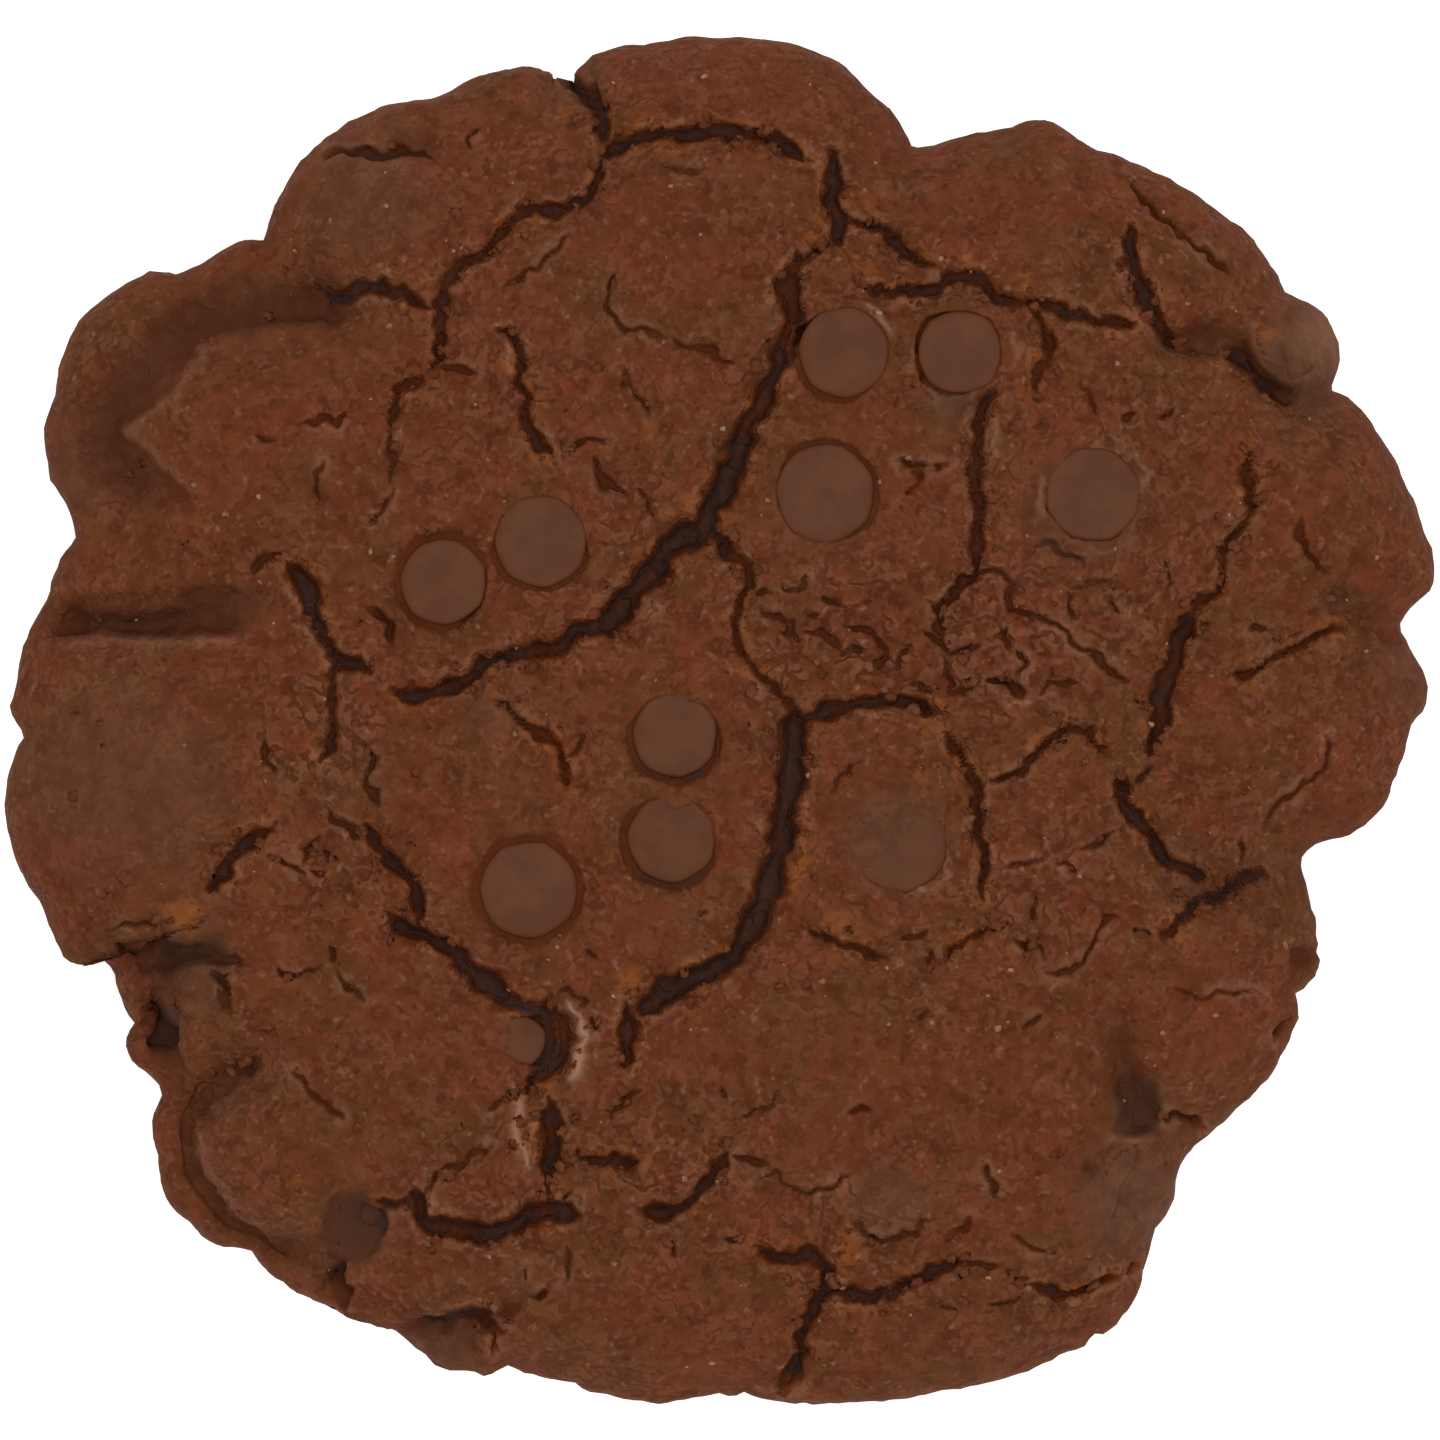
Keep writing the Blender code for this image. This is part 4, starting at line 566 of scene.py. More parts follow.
class Grain:
    """Smooth random relief, the same on each run, read at any place."""

    SIDE = 48

    def __init__(self, seed: int) -> None:
        """Fill the lattice from a seed."""
        self.values = np.random.default_rng(seed).uniform(-1.0, 1.0, (self.SIDE,) * 3)

    def at(self, places: np.ndarray, wavelength: float) -> np.ndarray:
        """Read the relief.

        Args:
            places: Points, one row of three numbers each.
            wavelength: Distance between the lattice's values, in the points' unit.

        Returns:
            A value from -1 to 1 for each point.
        """
        spot = places / wavelength + 0.37 * self.SIDE
        cell = np.floor(spot)
        share = spot - cell
        share = share * share * (3.0 - 2.0 * share)
        low = cell.astype(int) % self.SIDE
        high = (low + 1) % self.SIDE
        result = np.zeros(len(places))
        for corner in range(8):
            pick = [(corner >> axis) & 1 for axis in range(3)]
            index = [high[:, a] if pick[a] else low[:, a] for a in range(3)]
            weight = np.prod([share[:, a] if pick[a] else 1.0 - share[:, a] for a in range(3)],
                             axis=0)
            result += weight * self.values[index[0], index[1], index[2]]
        return result

    def layers(self, places: np.ndarray, wavelength: float, count: int, gain: float) -> np.ndarray:
        """Sum finer and finer relief.

        Args:
            places: Points, one row of three numbers each.
            wavelength: The coarsest layer's wavelength; each next one is half as long.
            count: How many layers.
            gain: Each next layer's height as a share of the one before.

        Returns:
            A value for each point, the coarsest layer from -1 to 1.
        """
        return sum(gain ** k * self.at(places + 7.3 * k, wavelength / 2 ** k)
                   for k in range(count))


class Outline:
    """The lobed outline as a reach from the middle for each heading."""

    STEPS_PER_ARC = 10
    MIDDLE_INSET = 43.5
    FIELD_SIDE = 48.0
    FIELD_STEP = 0.5
    SOFTEN = 1.3

    def __init__(self, rows: tuple) -> None:
        """Walk the rows' arcs counter-clockwise."""
        points: list[tuple[float, float]] = []
        for index, (x, y, via_x, via_y) in enumerate(rows):
            end = rows[(index + 1) % len(rows)][:2]
            points += arc_points((x, y), (via_x, via_y), end, self.STEPS_PER_ARC)
        points.reverse()
        turns = np.unwrap([math.atan2(y, x) for x, y in points])
        steps = np.hypot(*np.diff(np.array(points + points[:1]), axis=0).T)
        self.turns = np.append(turns, turns[0] + math.tau)
        self.reaches = np.array([math.hypot(x, y) for x, y in points + points[:1]])
        self.shares = np.append(0.0, np.cumsum(steps)) / float(steps.sum())
        self.corners = np.array(points)
        self.tree = KDTree(len(points))
        for index, (x, y) in enumerate(points):
            self.tree.insert((x, y, 0.0), index)
        self.tree.balance()
        self.field = self.soft_field()

    def soft_field(self) -> np.ndarray:
        """The shares on a square lattice, blurred so that no ridge has a sharp crest."""
        lane = np.arange(-self.FIELD_SIDE, self.FIELD_SIDE + 0.01, self.FIELD_STEP)
        x, y = (part.ravel() for part in np.meshgrid(lane, lane))
        field = self.exact_share(x, y).reshape(len(lane), len(lane))
        reach = np.arange(-8, 9) * self.FIELD_STEP / self.SOFTEN
        kernel = np.exp(-0.5 * reach ** 2)
        kernel /= kernel.sum()
        for _ in range(2):
            field = np.array([np.convolve(row, kernel, mode="same") for row in field]).T
        return field

    def heading(self, share: np.ndarray) -> np.ndarray:
        """The heading reached after a share of the way round, counter-clockwise."""
        return np.interp(np.mod(share, 1.0), self.shares, self.turns)

    def soft_place(self, share: np.ndarray) -> np.ndarray:
        """X and Y after shares of the way round an outline with its lobes smoothed away."""
        offsets = np.linspace(-0.045, 0.045, 19)
        weights = np.exp(-0.5 * (offsets / 0.016) ** 2)
        around = np.mod(share[:, None] + offsets, 1.0)
        closed = np.vstack((self.corners, self.corners[:1])).T
        return np.array([np.interp(around, self.shares, part) @ weights
                         for part in closed]) / weights.sum()

    def reach(self, heading: np.ndarray) -> np.ndarray:
        """The outline's distance from the middle at a heading."""
        wrapped = self.turns[0] + np.mod(heading - self.turns[0], math.tau)
        return np.interp(wrapped, self.turns, self.reaches)

    def share(self, x: np.ndarray, y: np.ndarray) -> np.ndarray:
        """How far out places lie.

        Args:
            x: Places' X.
            y: Places' Y.

        Returns:
            1 on the outline, and less with the distance inside it, to about 0 at the
            middle, without sharp crests.
        """
        exact = self.exact_share(x, y)
        spots = np.column_stack((y, x)) / self.FIELD_STEP + self.FIELD_SIDE / self.FIELD_STEP
        cell = np.clip(np.floor(spots).astype(int), 0, len(self.field) - 2)
        row, column = cell.T
        up, right = (spots - cell).T
        low = self.field[row, column] * (1 - right) + self.field[row, column + 1] * right
        high = self.field[row + 1, column] * (1 - right) + self.field[row + 1, column + 1] * right
        soft = low * (1 - up) + high * up
        inner = smoothstep(2.0, 5.0, (1.0 - exact) * self.MIDDLE_INSET)
        return exact + (soft - exact) * inner

    def exact_share(self, x: np.ndarray, y: np.ndarray) -> np.ndarray:
        """The shares by the plain distance to the outline."""
        places = np.column_stack((x, y))
        nearest = np.array([self.tree.find((*place, 0.0))[1] for place in places])
        inset = np.full(len(x), np.inf)
        for step in (-1, 0):
            start = self.corners[(nearest + step) % len(self.corners)]
            along = self.corners[(nearest + step + 1) % len(self.corners)] - start
            run = ((places - start) * along).sum(axis=1) / (along * along).sum(axis=1)
            foot = start + np.clip(run, 0.0, 1.0)[:, None] * along
            inset = np.minimum(inset, np.hypot(*(places - foot).T))
        return 1.0 - inset / self.MIDDLE_INSET


@dataclass
class CrackReading:
    """What the cracks do at a set of places: cut, roll of the lips, and how near each is."""

    cut: np.ndarray
    roll: np.ndarray
    from_open: np.ndarray
    from_hair: np.ndarray


@dataclass
class CrackNet:
    """All cracks of the crust, read as one field in plan."""

    cracks: tuple[Crack, ...]
    grain: Grain
    step: float = 0.55
    taper: float = 1.1
    floor_share: float = 0.3
    width_sway: float = 0.42
    sway_length: float = 1.3
    warps: tuple[tuple[float, float], ...] = ((2.8, 0.3), (0.6, 0.2))
    kinks: tuple[float, float] = (1.3, 0.45)
    reach: float = 2.0

    def warp(self, x: np.ndarray, y: np.ndarray) -> tuple[np.ndarray, np.ndarray]:
        """Shift places a little, so that straight walls turn ragged."""
        places = np.column_stack((x, y, np.zeros(len(x))))
        warped_x, warped_y = x.copy(), y.copy()
        for length, amount in self.warps:
            warped_x += amount * self.grain.at(places + 11.0, length)
            warped_y += amount * self.grain.at(places + 29.0, length)
        length, amount = self.kinks
        warped_x += amount * (np.abs(self.grain.at(places + 47.0, length)) - 0.3)
        warped_y += amount * (np.abs(self.grain.at(places + 61.0, length)) - 0.3)
        return warped_x, warped_y

    def read(self, x: np.ndarray, y: np.ndarray) -> CrackReading:
        """Read the cracks.

        Args:
            x: Places' X in millimetres.
            y: Places' Y in millimetres.

        Returns:
            The cut and the roll of the lips in millimetres, and the distance to the
            nearest wall of an open crack and of a hair crack, negative inside.
        """
        far = np.full(len(x), 99.0)
        reading = CrackReading(np.zeros(len(x)), np.zeros(len(x)), far.copy(), far.copy())
        warped_x, warped_y = self.warp(x, y)
        for number, crack in enumerate(self.cracks):
            stations = smooth_route(crack.route, self.step)
            low, high = stations.min(axis=0) - self.reach, stations.max(axis=0) + self.reach
            near = np.flatnonzero((warped_x > low[0]) & (warped_x < high[0])
                                  & (warped_y > low[1]) & (warped_y < high[1]))
            if len(near):
                self.add(reading, crack, number, stations, near, warped_x[near], warped_y[near])
        return reading

    def add(self, reading: CrackReading, crack: Crack, number: int, stations: np.ndarray,
            near: np.ndarray, x: np.ndarray, y: np.ndarray) -> None:
        """Add one crack to a reading.

        Args:
            reading: The reading to change.
            crack: The crack.
            number: Its number, which sets how its width sways.
            stations: Points along its middle.
            near: Which places it can touch.
            x: Those places' warped X.
            y: Those places' warped Y.
        """
        away, run = distance_along(x, y, stations)
        away = np.abs(away)
        total = float(np.hypot(*np.diff(stations, axis=0).T).sum())
        end = min(self.taper, 0.3 * total)
        taper = np.sin(np.clip(np.minimum(run, total - run) / end, 0.0, 1.0) * math.pi / 2)
        line = np.column_stack((run, np.full(len(run), 5.1 * number), np.zeros(len(run))))
        sway = 1.0 + self.width_sway * self.grain.at(line, self.sway_length)
        _, _, end_share, share = crack.kind.value
        width = share * crack.width * (end_share + (1.0 - end_share) * taper) * sway
        half = 0.5 * width
        depth = (0.35 + 0.65 * taper) * crack.full_depth() * (0.6 + 0.4 * sway)
        wall = smoothstep(1.0, self.floor_share, away / half)
        beyond = away - half
        roll = (0.06 + 0.16 * crack.width) * taper * np.exp(-np.clip(beyond, 0.0, None) / 0.4)
        reading.cut[near] = np.maximum(reading.cut[near], depth * wall)
        reading.roll[near] = np.maximum(reading.roll[near], roll)
        target = reading.from_open if crack.kind is CrackKind.OPEN else reading.from_hair
        target[near] = np.minimum(target[near], beyond)


def distance_along(x: np.ndarray, y: np.ndarray, stations: np.ndarray) -> tuple:
    """Measure places against a line.

    Args:
        x: Places' X.
        y: Places' Y.
        stations: Points along the line, one row each.

    Returns:
        The distance of each place from the line, above 0 on its left and below 0 on its
        right, and how far along it the nearest point lies.
    """
    nearest, run, start = np.full(len(x), np.inf), np.zeros(len(x)), 0.0
    side = np.ones(len(x))
    for (ax, ay), (bx, by) in zip(stations[:-1], stations[1:]):
        dx, dy = bx - ax, by - ay
        length = math.hypot(dx, dy)
        along = np.clip(((x - ax) * dx + (y - ay) * dy) / (length * length), 0.0, 1.0)
        away = np.hypot(x - ax - along * dx, y - ay - along * dy)
        closer = away < nearest
        nearest = np.where(closer, away, nearest)
        run = np.where(closer, start + along * length, run)
        side = np.where(closer, np.sign(dx * (y - ay) - dy * (x - ax)), side)
        start += length
    return nearest * side, run


@dataclass(frozen=True)
class Cover:
    """How the dough meets a chip: a ring groove, a lap and a flap of dough over the chip.

    The groove is widest and deepest at its heading. It closes towards the other side,
    where the dough laps over the rim, and a spread of 1 leaves it open all round. The
    flap covers the chip from a distance out from its middle along the flap's heading,
    and its edge is soft over a width. Headings are in degrees. A chip with flat sides is
    a worn polygon, at a share of its full corners, with a corner at the corner's heading.
    The film is the flap's thickness, and the shift moves the chip along X. The shade is
    painted shade that darkens the chip's colour.
    """

    gap_heading: float
    gap: float = 0.25
    depth: float = 0.45
    spread: float = 0.0
    flap_heading: float = 0.0
    flap_from: float = 99.0
    soft: float = 0.14
    shade: float = 0.0
    sides: int = 7
    corners: float = 0.3
    corner_heading: float = 20.0
    lap: float = 0.3
    film: float = 0.12
    shift: float = 0.0


COVERS = (
    Cover(215.0, 0.3, 0.36, lap=0.24),
    Cover(190.0, 0.14, 0.25, 0.0, 285.0, 2.5, 0.4, 0.0, 4, 0.2, 45.0, lap=0.22),
    Cover(45.0, 0.22, 0.4, 0.2, lap=0.2), Cover(250.0, -0.15, 0.15, sides=8, corners=0.5),
    Cover(265.0, 0.25, 0.35, 0.1), Cover(165.0, 0.46, 0.42, 0.5, lap=0.2),
    Cover(262.0, 0.36, 0.4, 0.2, 92.0, 2.1, lap=0.12),
    Cover(235.0, 0.32, 0.38, 0.2, 80.0, 2.2, 0.25, lap=0.12),
    Cover(330.0, 0.4, 0.36, 1.0), Cover(300.0, -0.2, 0.1, 0.0, 125.0, 0.0, 0.8, film=0.06),
    Cover(220.0, -0.3, 0.1, 0.0, 40.0, -4.0, film=0.1),
    Cover(240.0, -0.3, 0.1, 0.0, 95.0, -4.0, film=0.1),
    Cover(10.0, 0.25, 0.5, -0.15, 190.0, -1.2, 0.5, 0.2, film=0.1),
    Cover(60.0, 0.0, 0.15, 0.0, 225.0, -0.8, 0.8, 0.4, 4, 0.5, 35.0, film=0.06),
    Cover(0.0, 0.5, 1.7, -0.1, 180.0, 1.2, 0.4, 0.0, 4, shift=1.05),
)


@dataclass
class ChipSeat:
    """A chip's place in the crust, measured on its node of the frame."""

    node: str
    cover: Cover
    middle: np.ndarray = field(init=False)
    axis: np.ndarray = field(init=False)
    radius: float = field(init=False)
    length: float = field(init=False)

    def __post_init__(self) -> None:
        """Find the flat round face, the axis through it and the reach around the axis."""
        mesh = bpy.data.objects[self.node].data
        mesh.calc_loop_triangles()
        points = np.array([v.co for v in mesh.vertices]) / MM
        corners = points[np.array([t.vertices for t in mesh.loop_triangles])]
        crosses = np.cross(corners[:, 1] - corners[:, 0], corners[:, 2] - corners[:, 0])
        areas = np.linalg.norm(crosses, axis=1)
        normals = crosses / areas[:, None]
        alike = normals @ normals.T > 0.9995
        face = alike[int(np.argmax(alike @ areas))]
        self.axis = normals[face].mean(axis=0)
        self.middle = np.average(corners[face].mean(axis=1), axis=0, weights=areas[face])
        offsets = points - self.middle
        self.middle[0] += self.cover.shift
        depths = offsets @ self.axis
        self.length = float(-depths.min())
        self.radius = float(np.linalg.norm(offsets - np.outer(depths, self.axis), axis=1).max())

    def place(self) -> Matrix:
        """The chip's frame in millimetres: Z runs out of its round face."""
        turn = Vector((0.0, 0.0, 1.0)).rotation_difference(Vector(self.axis))
        return Matrix.Translation(self.middle) @ turn.to_matrix().to_4x4()

    def face_height(self, x: np.ndarray, y: np.ndarray) -> np.ndarray:
        """Height of the plane of the round face at places in plan."""
        across = self.axis[0] * (x - self.middle[0]) + self.axis[1] * (y - self.middle[1])
        return self.middle[2] - across / self.axis[2]

    def offsets(self, x: np.ndarray, y: np.ndarray) -> tuple[np.ndarray, np.ndarray]:
        """Distance in the face's plane from the chip's middle, and the heading in plan."""
        dx, dy = x - self.middle[0], y - self.middle[1]
        rise = self.face_height(x, y) - self.middle[2]
        return np.sqrt(dx * dx + dy * dy + rise * rise), np.arctan2(dy, dx)

    def reach(self, heading: np.ndarray) -> np.ndarray:
        """The face's reach at a heading, with its worn flat sides and soft corners."""
        sector = math.tau / self.cover.sides
        turned = heading - math.radians(self.cover.corner_heading)
        turned = np.mod(turned, sector) - 0.5 * sector
        inset = math.cos(0.5 * sector) / np.cos(turned)
        return self.radius * (1.0 - self.cover.corners * (1.0 - inset))


@dataclass
class Crust:
    """Heights and looks of the dough's surface."""

    outline: Outline
    seats: list[ChipSeat]
    grain: Grain
    box: np.ndarray
    net: CrackNet = field(init=False)
    height: float = 15.0
    belly: float = 4.6
    dome_power: float = 4.2
    sink: float = -0.5
    edge_fade: float = 0.06
    socket_depth: float = 3.8
    socket_wall: float = 0.16
    rest: float = 0.15
    box_gap: float = 0.04

    def __post_init__(self) -> None:
        """Gather the cracks into one net."""
        self.net = CrackNet(OPEN_CRACKS + HAIR_CRACKS, self.grain)

    def plain_height(self, x: np.ndarray, y: np.ndarray) -> np.ndarray:
        """Height of the dome with its plates and soft valleys."""
        share = self.outline.share(x, y)
        drop = np.sqrt(np.clip(1.0 - np.clip(share, 0.0, 1.0) ** self.dome_power, 0.0, 1.0))
        relief = np.full(len(x), self.sink)
        for mound in MOUNDS:
            away = np.hypot(x - mound.x, y - mound.y) / mound.reach
            relief += mound.rise * np.exp(-away ** 4)
        relief -= self.valley_depth(x, y)
        relief += 0.12 * self.grain.layers(np.column_stack((x, y, 0.0 * x)), 9.0, 2, 0.6)
        fade = np.clip((1.0 - share) / self.edge_fade, 0.0, 1.0)
        return self.belly + (self.height - self.belly) * drop + relief * fade

    def pit_cut(self, x: np.ndarray, y: np.ndarray) -> np.ndarray:
        """Depth of the rounded hollows."""
        cut = np.zeros(len(x))
        x, y = self.net.warp(x, y)
        for pit in PITS:
            turn = math.radians(pit.heading)
            dx, dy = x - pit.x, y - pit.y
            along = (dx * math.cos(turn) + dy * math.sin(turn)) / pit.along
            across = (dy * math.cos(turn) - dx * math.sin(turn)) / pit.across
            inside = np.clip(1.0 - along ** 2 - across ** 2, 0.0, 1.0)
            cut = np.maximum(cut, pit.depth * np.sqrt(inside))
        return cut

    def valley_depth(self, x: np.ndarray, y: np.ndarray) -> np.ndarray:
        """Depth of the soft valleys."""
        depth = np.zeros(len(x))
        for valley in VALLEYS:
            away, _ = distance_along(x, y, np.array(valley.route))
            depth += valley.depth * np.exp(-(away / (0.5 * valley.width)) ** 2)
        return depth

    def ledge_depth(self, x: np.ndarray, y: np.ndarray) -> np.ndarray:
        """Depth of the crust below the plates' edges."""
        depth = np.zeros(len(x))
        warped_x, warped_y = self.net.warp(x, y)
        for ledge in LEDGES:
            stations = smooth_route(ledge.route, 0.8)
            away, run = distance_along(warped_x, warped_y, stations)
            total = float(np.hypot(*np.diff(stations, axis=0).T).sum())
            taper = smoothstep(0.0, 2.0, np.minimum(run, total - run) + 0.3)
            drop = smoothstep(-0.25, 0.4, away) * np.exp(-(away / ledge.reach) ** 2)
            depth = np.maximum(depth, ledge.depth * taper * drop)
        return depth

    def patches(self, smears: tuple[Smear, ...], x: np.ndarray, y: np.ndarray) -> np.ndarray:
        """Strength of a set of patches at places."""
        amount = np.zeros(len(x))
        for smear in smears:
            away = np.hypot(x - smear.x, y - smear.y) / smear.reach
            amount = np.maximum(amount, smear.strength * np.exp(-away ** 4))
        return amount

    def streaks(self, look: Look, x: np.ndarray, y: np.ndarray) -> tuple:
        """Strength and rise of the narrow bands with a look, at places."""
        amount, rise = np.zeros(len(x)), np.zeros(len(x))
        for streak in STREAKS:
            if streak.look is not look:
                continue
            stations = smooth_route(streak.route, 0.6)
            away, run = distance_along(x, y, stations)
            total = float(np.hypot(*np.diff(stations, axis=0).T).sum())
            band = np.exp(-(away / streak.width) ** 2)
            band *= smoothstep(-0.2, 0.8, np.minimum(run, total - run))
            amount = np.maximum(amount, streak.strength * band)
            rise = np.maximum(rise, streak.rise * band)
        return amount, rise

    def flap_edge(self, seat: ChipSeat, x: np.ndarray, y: np.ndarray) -> np.ndarray:
        """Distance past the edge of the flap over a chip, negative where it is bare."""
        away, heading = seat.offsets(x, y)
        lean = np.cos(heading - math.radians(seat.cover.flap_heading)) * away
        places = np.column_stack((x, y, np.zeros(len(x))))
        return lean - seat.cover.flap_from + 0.5 * self.grain.layers(places + 3.0, 1.3, 3, 0.6)

    def seat_chip(self, seat: ChipSeat, moved: np.ndarray, lift: np.ndarray) -> tuple:
        """Cut a chip's socket into the crust and lay its flap.

        Args:
            seat: The chip's place.
            moved: The crust's points, whose heights are changed.
            lift: The crust's fine relief there.

        Returns:
            How much each point is part of the flap and of the ring groove, from 0 to 1.
        """
        x, y = moved[:, 0].copy(), moved[:, 1].copy()
        away, heading = seat.offsets(x, y)
        cover, reach = seat.cover, seat.reach(heading)
        side = smoothstep(-0.25 - 2.0 * cover.spread, 0.75 - 2.0 * cover.spread,
                          np.cos(heading - math.radians(cover.gap_heading)))
        places = np.column_stack((x, y, np.zeros(len(x))))
        ragged = 0.13 * self.grain.at(places, 1.1) + 0.1 * self.grain.at(places, 0.4)
        wall = reach - cover.lap * (1.0 - side) + cover.gap * side + ragged * (0.3 + 0.7 * side)
        ring = smoothstep(wall + self.socket_wall, wall, away)
        past_edge = self.flap_edge(seat, x, y)
        under = smoothstep(reach - self.rest, reach - 3 * self.rest, away)
        under *= smoothstep(-0.3, -0.7, past_edge)
        face = seat.face_height(x, y)
        depth = (0.15 + (cover.depth - 0.15) * side) * (1.0 - under) + self.socket_depth * under
        lapped = (1.0 - ring) * smoothstep(reach + 1.2, reach + 0.1, away)
        skin = cover.film * (1.0 + np.clip(4.0 * lift, -0.5, 2.0))
        covered = smoothstep(-cover.soft, cover.soft, past_edge)
        lap_rise = 0.03 + 0.5 * lift
        lap_rise += (skin - lap_rise) * covered
        height = moved[:, 2]
        height = height + lapped * np.clip(face + lap_rise - height, 0.0, None)
        bare = height + ring * (np.minimum(height, face - depth) - height)
        over, flap = np.maximum(height, face + skin), covered * ring
        moved[:, 2] = bare * (1.0 - flap) + over * flap
        return flap, ring * (1.0 - flap) * smoothstep(reach - 0.3, reach - 0.05, away)


@dataclass
class DoughBody:
    """The baked dough as one closed mesh with its cracks, sockets and flat base."""

    crust: Crust
    rings: int = 90
    crown_share: float = 0.93
    flank_rows: int = 13
    underside_rows: int = 9
    base_inset: float = 2.4
    base_shares: tuple[float, ...] = (0.97, 0.88, 0.7, 0.45, 0.2)
    fine_reach: float = 0.75
    hair_reach: float = 0.3
    jitter: float = 0.2
    seed: int = 23

    def crown(self) -> bmesh.types.BMesh:
        """Make the top as a grid of triangles spread from the middle to the shoulder."""
        body = bmesh.new()
        bmesh.ops.create_circle(body, cap_ends=True, cap_tris=True, segments=6, radius=1.0)
        spoke = max(body.verts, key=lambda v: v.co.length)
        turn = Matrix.Rotation(-math.atan2(spoke.co.y, spoke.co.x), 3, "Z")
        bmesh.ops.rotate(body, verts=body.verts, matrix=turn)
        bmesh.ops.subdivide_edges(body, edges=body.edges, cuts=self.rings - 1,
                                  use_grid_fill=True)
        places = points_of(body)
        turns = np.mod(np.arctan2(places[:, 1], places[:, 0]), math.tau)
        sector = np.minimum(5, np.floor(turns / (math.pi / 3)))
        off_middle = turns - (sector + 0.5) * math.pi / 3
        ring = np.hypot(places[:, 0], places[:, 1]) * np.cos(off_middle) / math.cos(math.pi / 6)
        share = (sector + 0.5 + 0.5 * np.tan(off_middle) / math.tan(math.pi / 6)) / 6
        outline = self.crust.outline
        heading = outline.heading(share)
        exact = outline.reach(heading) * np.array((np.cos(heading), np.sin(heading)))
        soft = outline.soft_place(share)
        x, y = (soft + (exact - soft) * smoothstep(0.55, 1.0, ring)) * self.crown_share * ring
        set_points(body, np.column_stack((x, y, self.crust.plain_height(x, y))))
        return body

    def shoulder_shares(self) -> np.ndarray:
        """Shares of the rows down the flank, spaced evenly along its curve."""
        shares = np.linspace(self.crown_share, 1.0, 400)
        reach = float(self.crust.outline.reaches.mean())
        drop = np.sqrt(1.0 - shares ** self.crust.dome_power)
        height = self.crust.belly + (self.crust.height - self.crust.belly) * drop
        steps = np.hypot(np.diff(shares * reach), np.diff(height))
        run = np.append(0.0, np.cumsum(steps)) / steps.sum()
        return np.interp(np.arange(1, self.flank_rows + 1) / self.flank_rows, run, shares)

    def skirt(self, body: bmesh.types.BMesh) -> None:
        """Extrude the rim down the flank, round the belly and in across the base."""
        crust = self.crust
        rim = [edge for edge in body.edges if edge.is_boundary]
        for share in self.shoulder_shares():
            rim = self.next_row(body, rim, lambda reach, s=share: (reach * s, None))
        for row in range(1, self.underside_rows + 1):
            angle = row / self.underside_rows * math.pi / 2
            inset = self.base_inset * (1.0 - math.cos(angle))
            level = crust.belly * (1.0 - math.sin(angle))
            rim = self.next_row(body, rim, lambda reach, i=inset, z=level: (reach - i, z))
        for share in self.base_shares:
            rim = self.next_row(body, rim,
                                lambda reach, s=share: ((reach - self.base_inset) * s, 0.0))
        base = bmesh.ops.contextual_create(body, geom=rim)["faces"]
        bmesh.ops.poke(body, faces=base)

    def next_row(self, body: bmesh.types.BMesh, rim: list, place) -> list:
        """Extrude the rim once.

        Args:
            body: The mesh.
            rim: Its open edges.
            place: Gives the distance from the middle and the height for the outline's
                reach; a height of None follows the crust.

        Returns:
            The new open edges.
        """
        grown = bmesh.ops.extrude_edge_only(body, edges=rim)["geom"]
        verts = [item for item in grown if isinstance(item, bmesh.types.BMVert)]
        flat = np.array([v.co for v in verts])
        heading = np.arctan2(flat[:, 1], flat[:, 0])
        away, level = place(self.crust.outline.reach(heading))
        x, y = away * np.cos(heading), away * np.sin(heading)
        z = self.crust.plain_height(x, y) if level is None else np.full(len(x), level)
        for vert, spot in zip(verts, np.column_stack((x, y, z))):
            vert.co = spot
        return [item for item in grown if isinstance(item, bmesh.types.BMEdge)]

    def refine(self, body: bmesh.types.BMesh) -> None:
        """Split the edges near cracks and chips: once in a band, twice at fine ones."""
        for level in range(2):
            body.verts.index_update()
            places = points_of(body)
            ends = np.array([(e.verts[0].index, e.verts[1].index) for e in body.edges])
            middle = places[ends].mean(axis=1)
            chosen = self.wants_detail(middle, level)
            edges = [edge for edge, pick in zip(body.edges, chosen) if pick]
            bmesh.ops.subdivide_edges(body, edges=edges, cuts=1, use_grid_fill=True)
            bmesh.ops.triangulate(body, faces=[f for f in body.faces if len(f.verts) > 3])

    def wants_detail(self, places: np.ndarray, level: int) -> np.ndarray:
        """Whether the mesh is to be finer at places, at a level of refinement."""
        x, y, z = places.T
        top = z > self.crust.belly * 0.5
        reading = self.crust.net.read(x, y)
        ring = np.full(len(x), 99.0)
        for seat in self.crust.seats:
            away, _ = seat.offsets(x, y)
            edge = np.where(away < seat.radius, np.abs(self.crust.flap_edge(seat, x, y)), 99.0)
            rim = np.abs(away - seat.radius)
            ring = np.minimum(ring, np.minimum(edge, rim))
        band, _ = self.crust.streaks(Look.HIGHLIGHT_RIM, *self.crust.net.warp(x, y))
        ring = np.where(band > (0.05, 0.3)[level], 0.0, ring)
        if level == 0:
            pits = (self.crust.pit_cut(x, y) > 0) | (self.crust.ledge_depth(x, y) > 0.9)
            near = (reading.from_open < self.fine_reach) | (reading.from_hair < 0.5)
            return top & (near | pits | (ring < 0.55))
        return top & ((reading.from_hair < self.hair_reach) | (ring < 0.24))

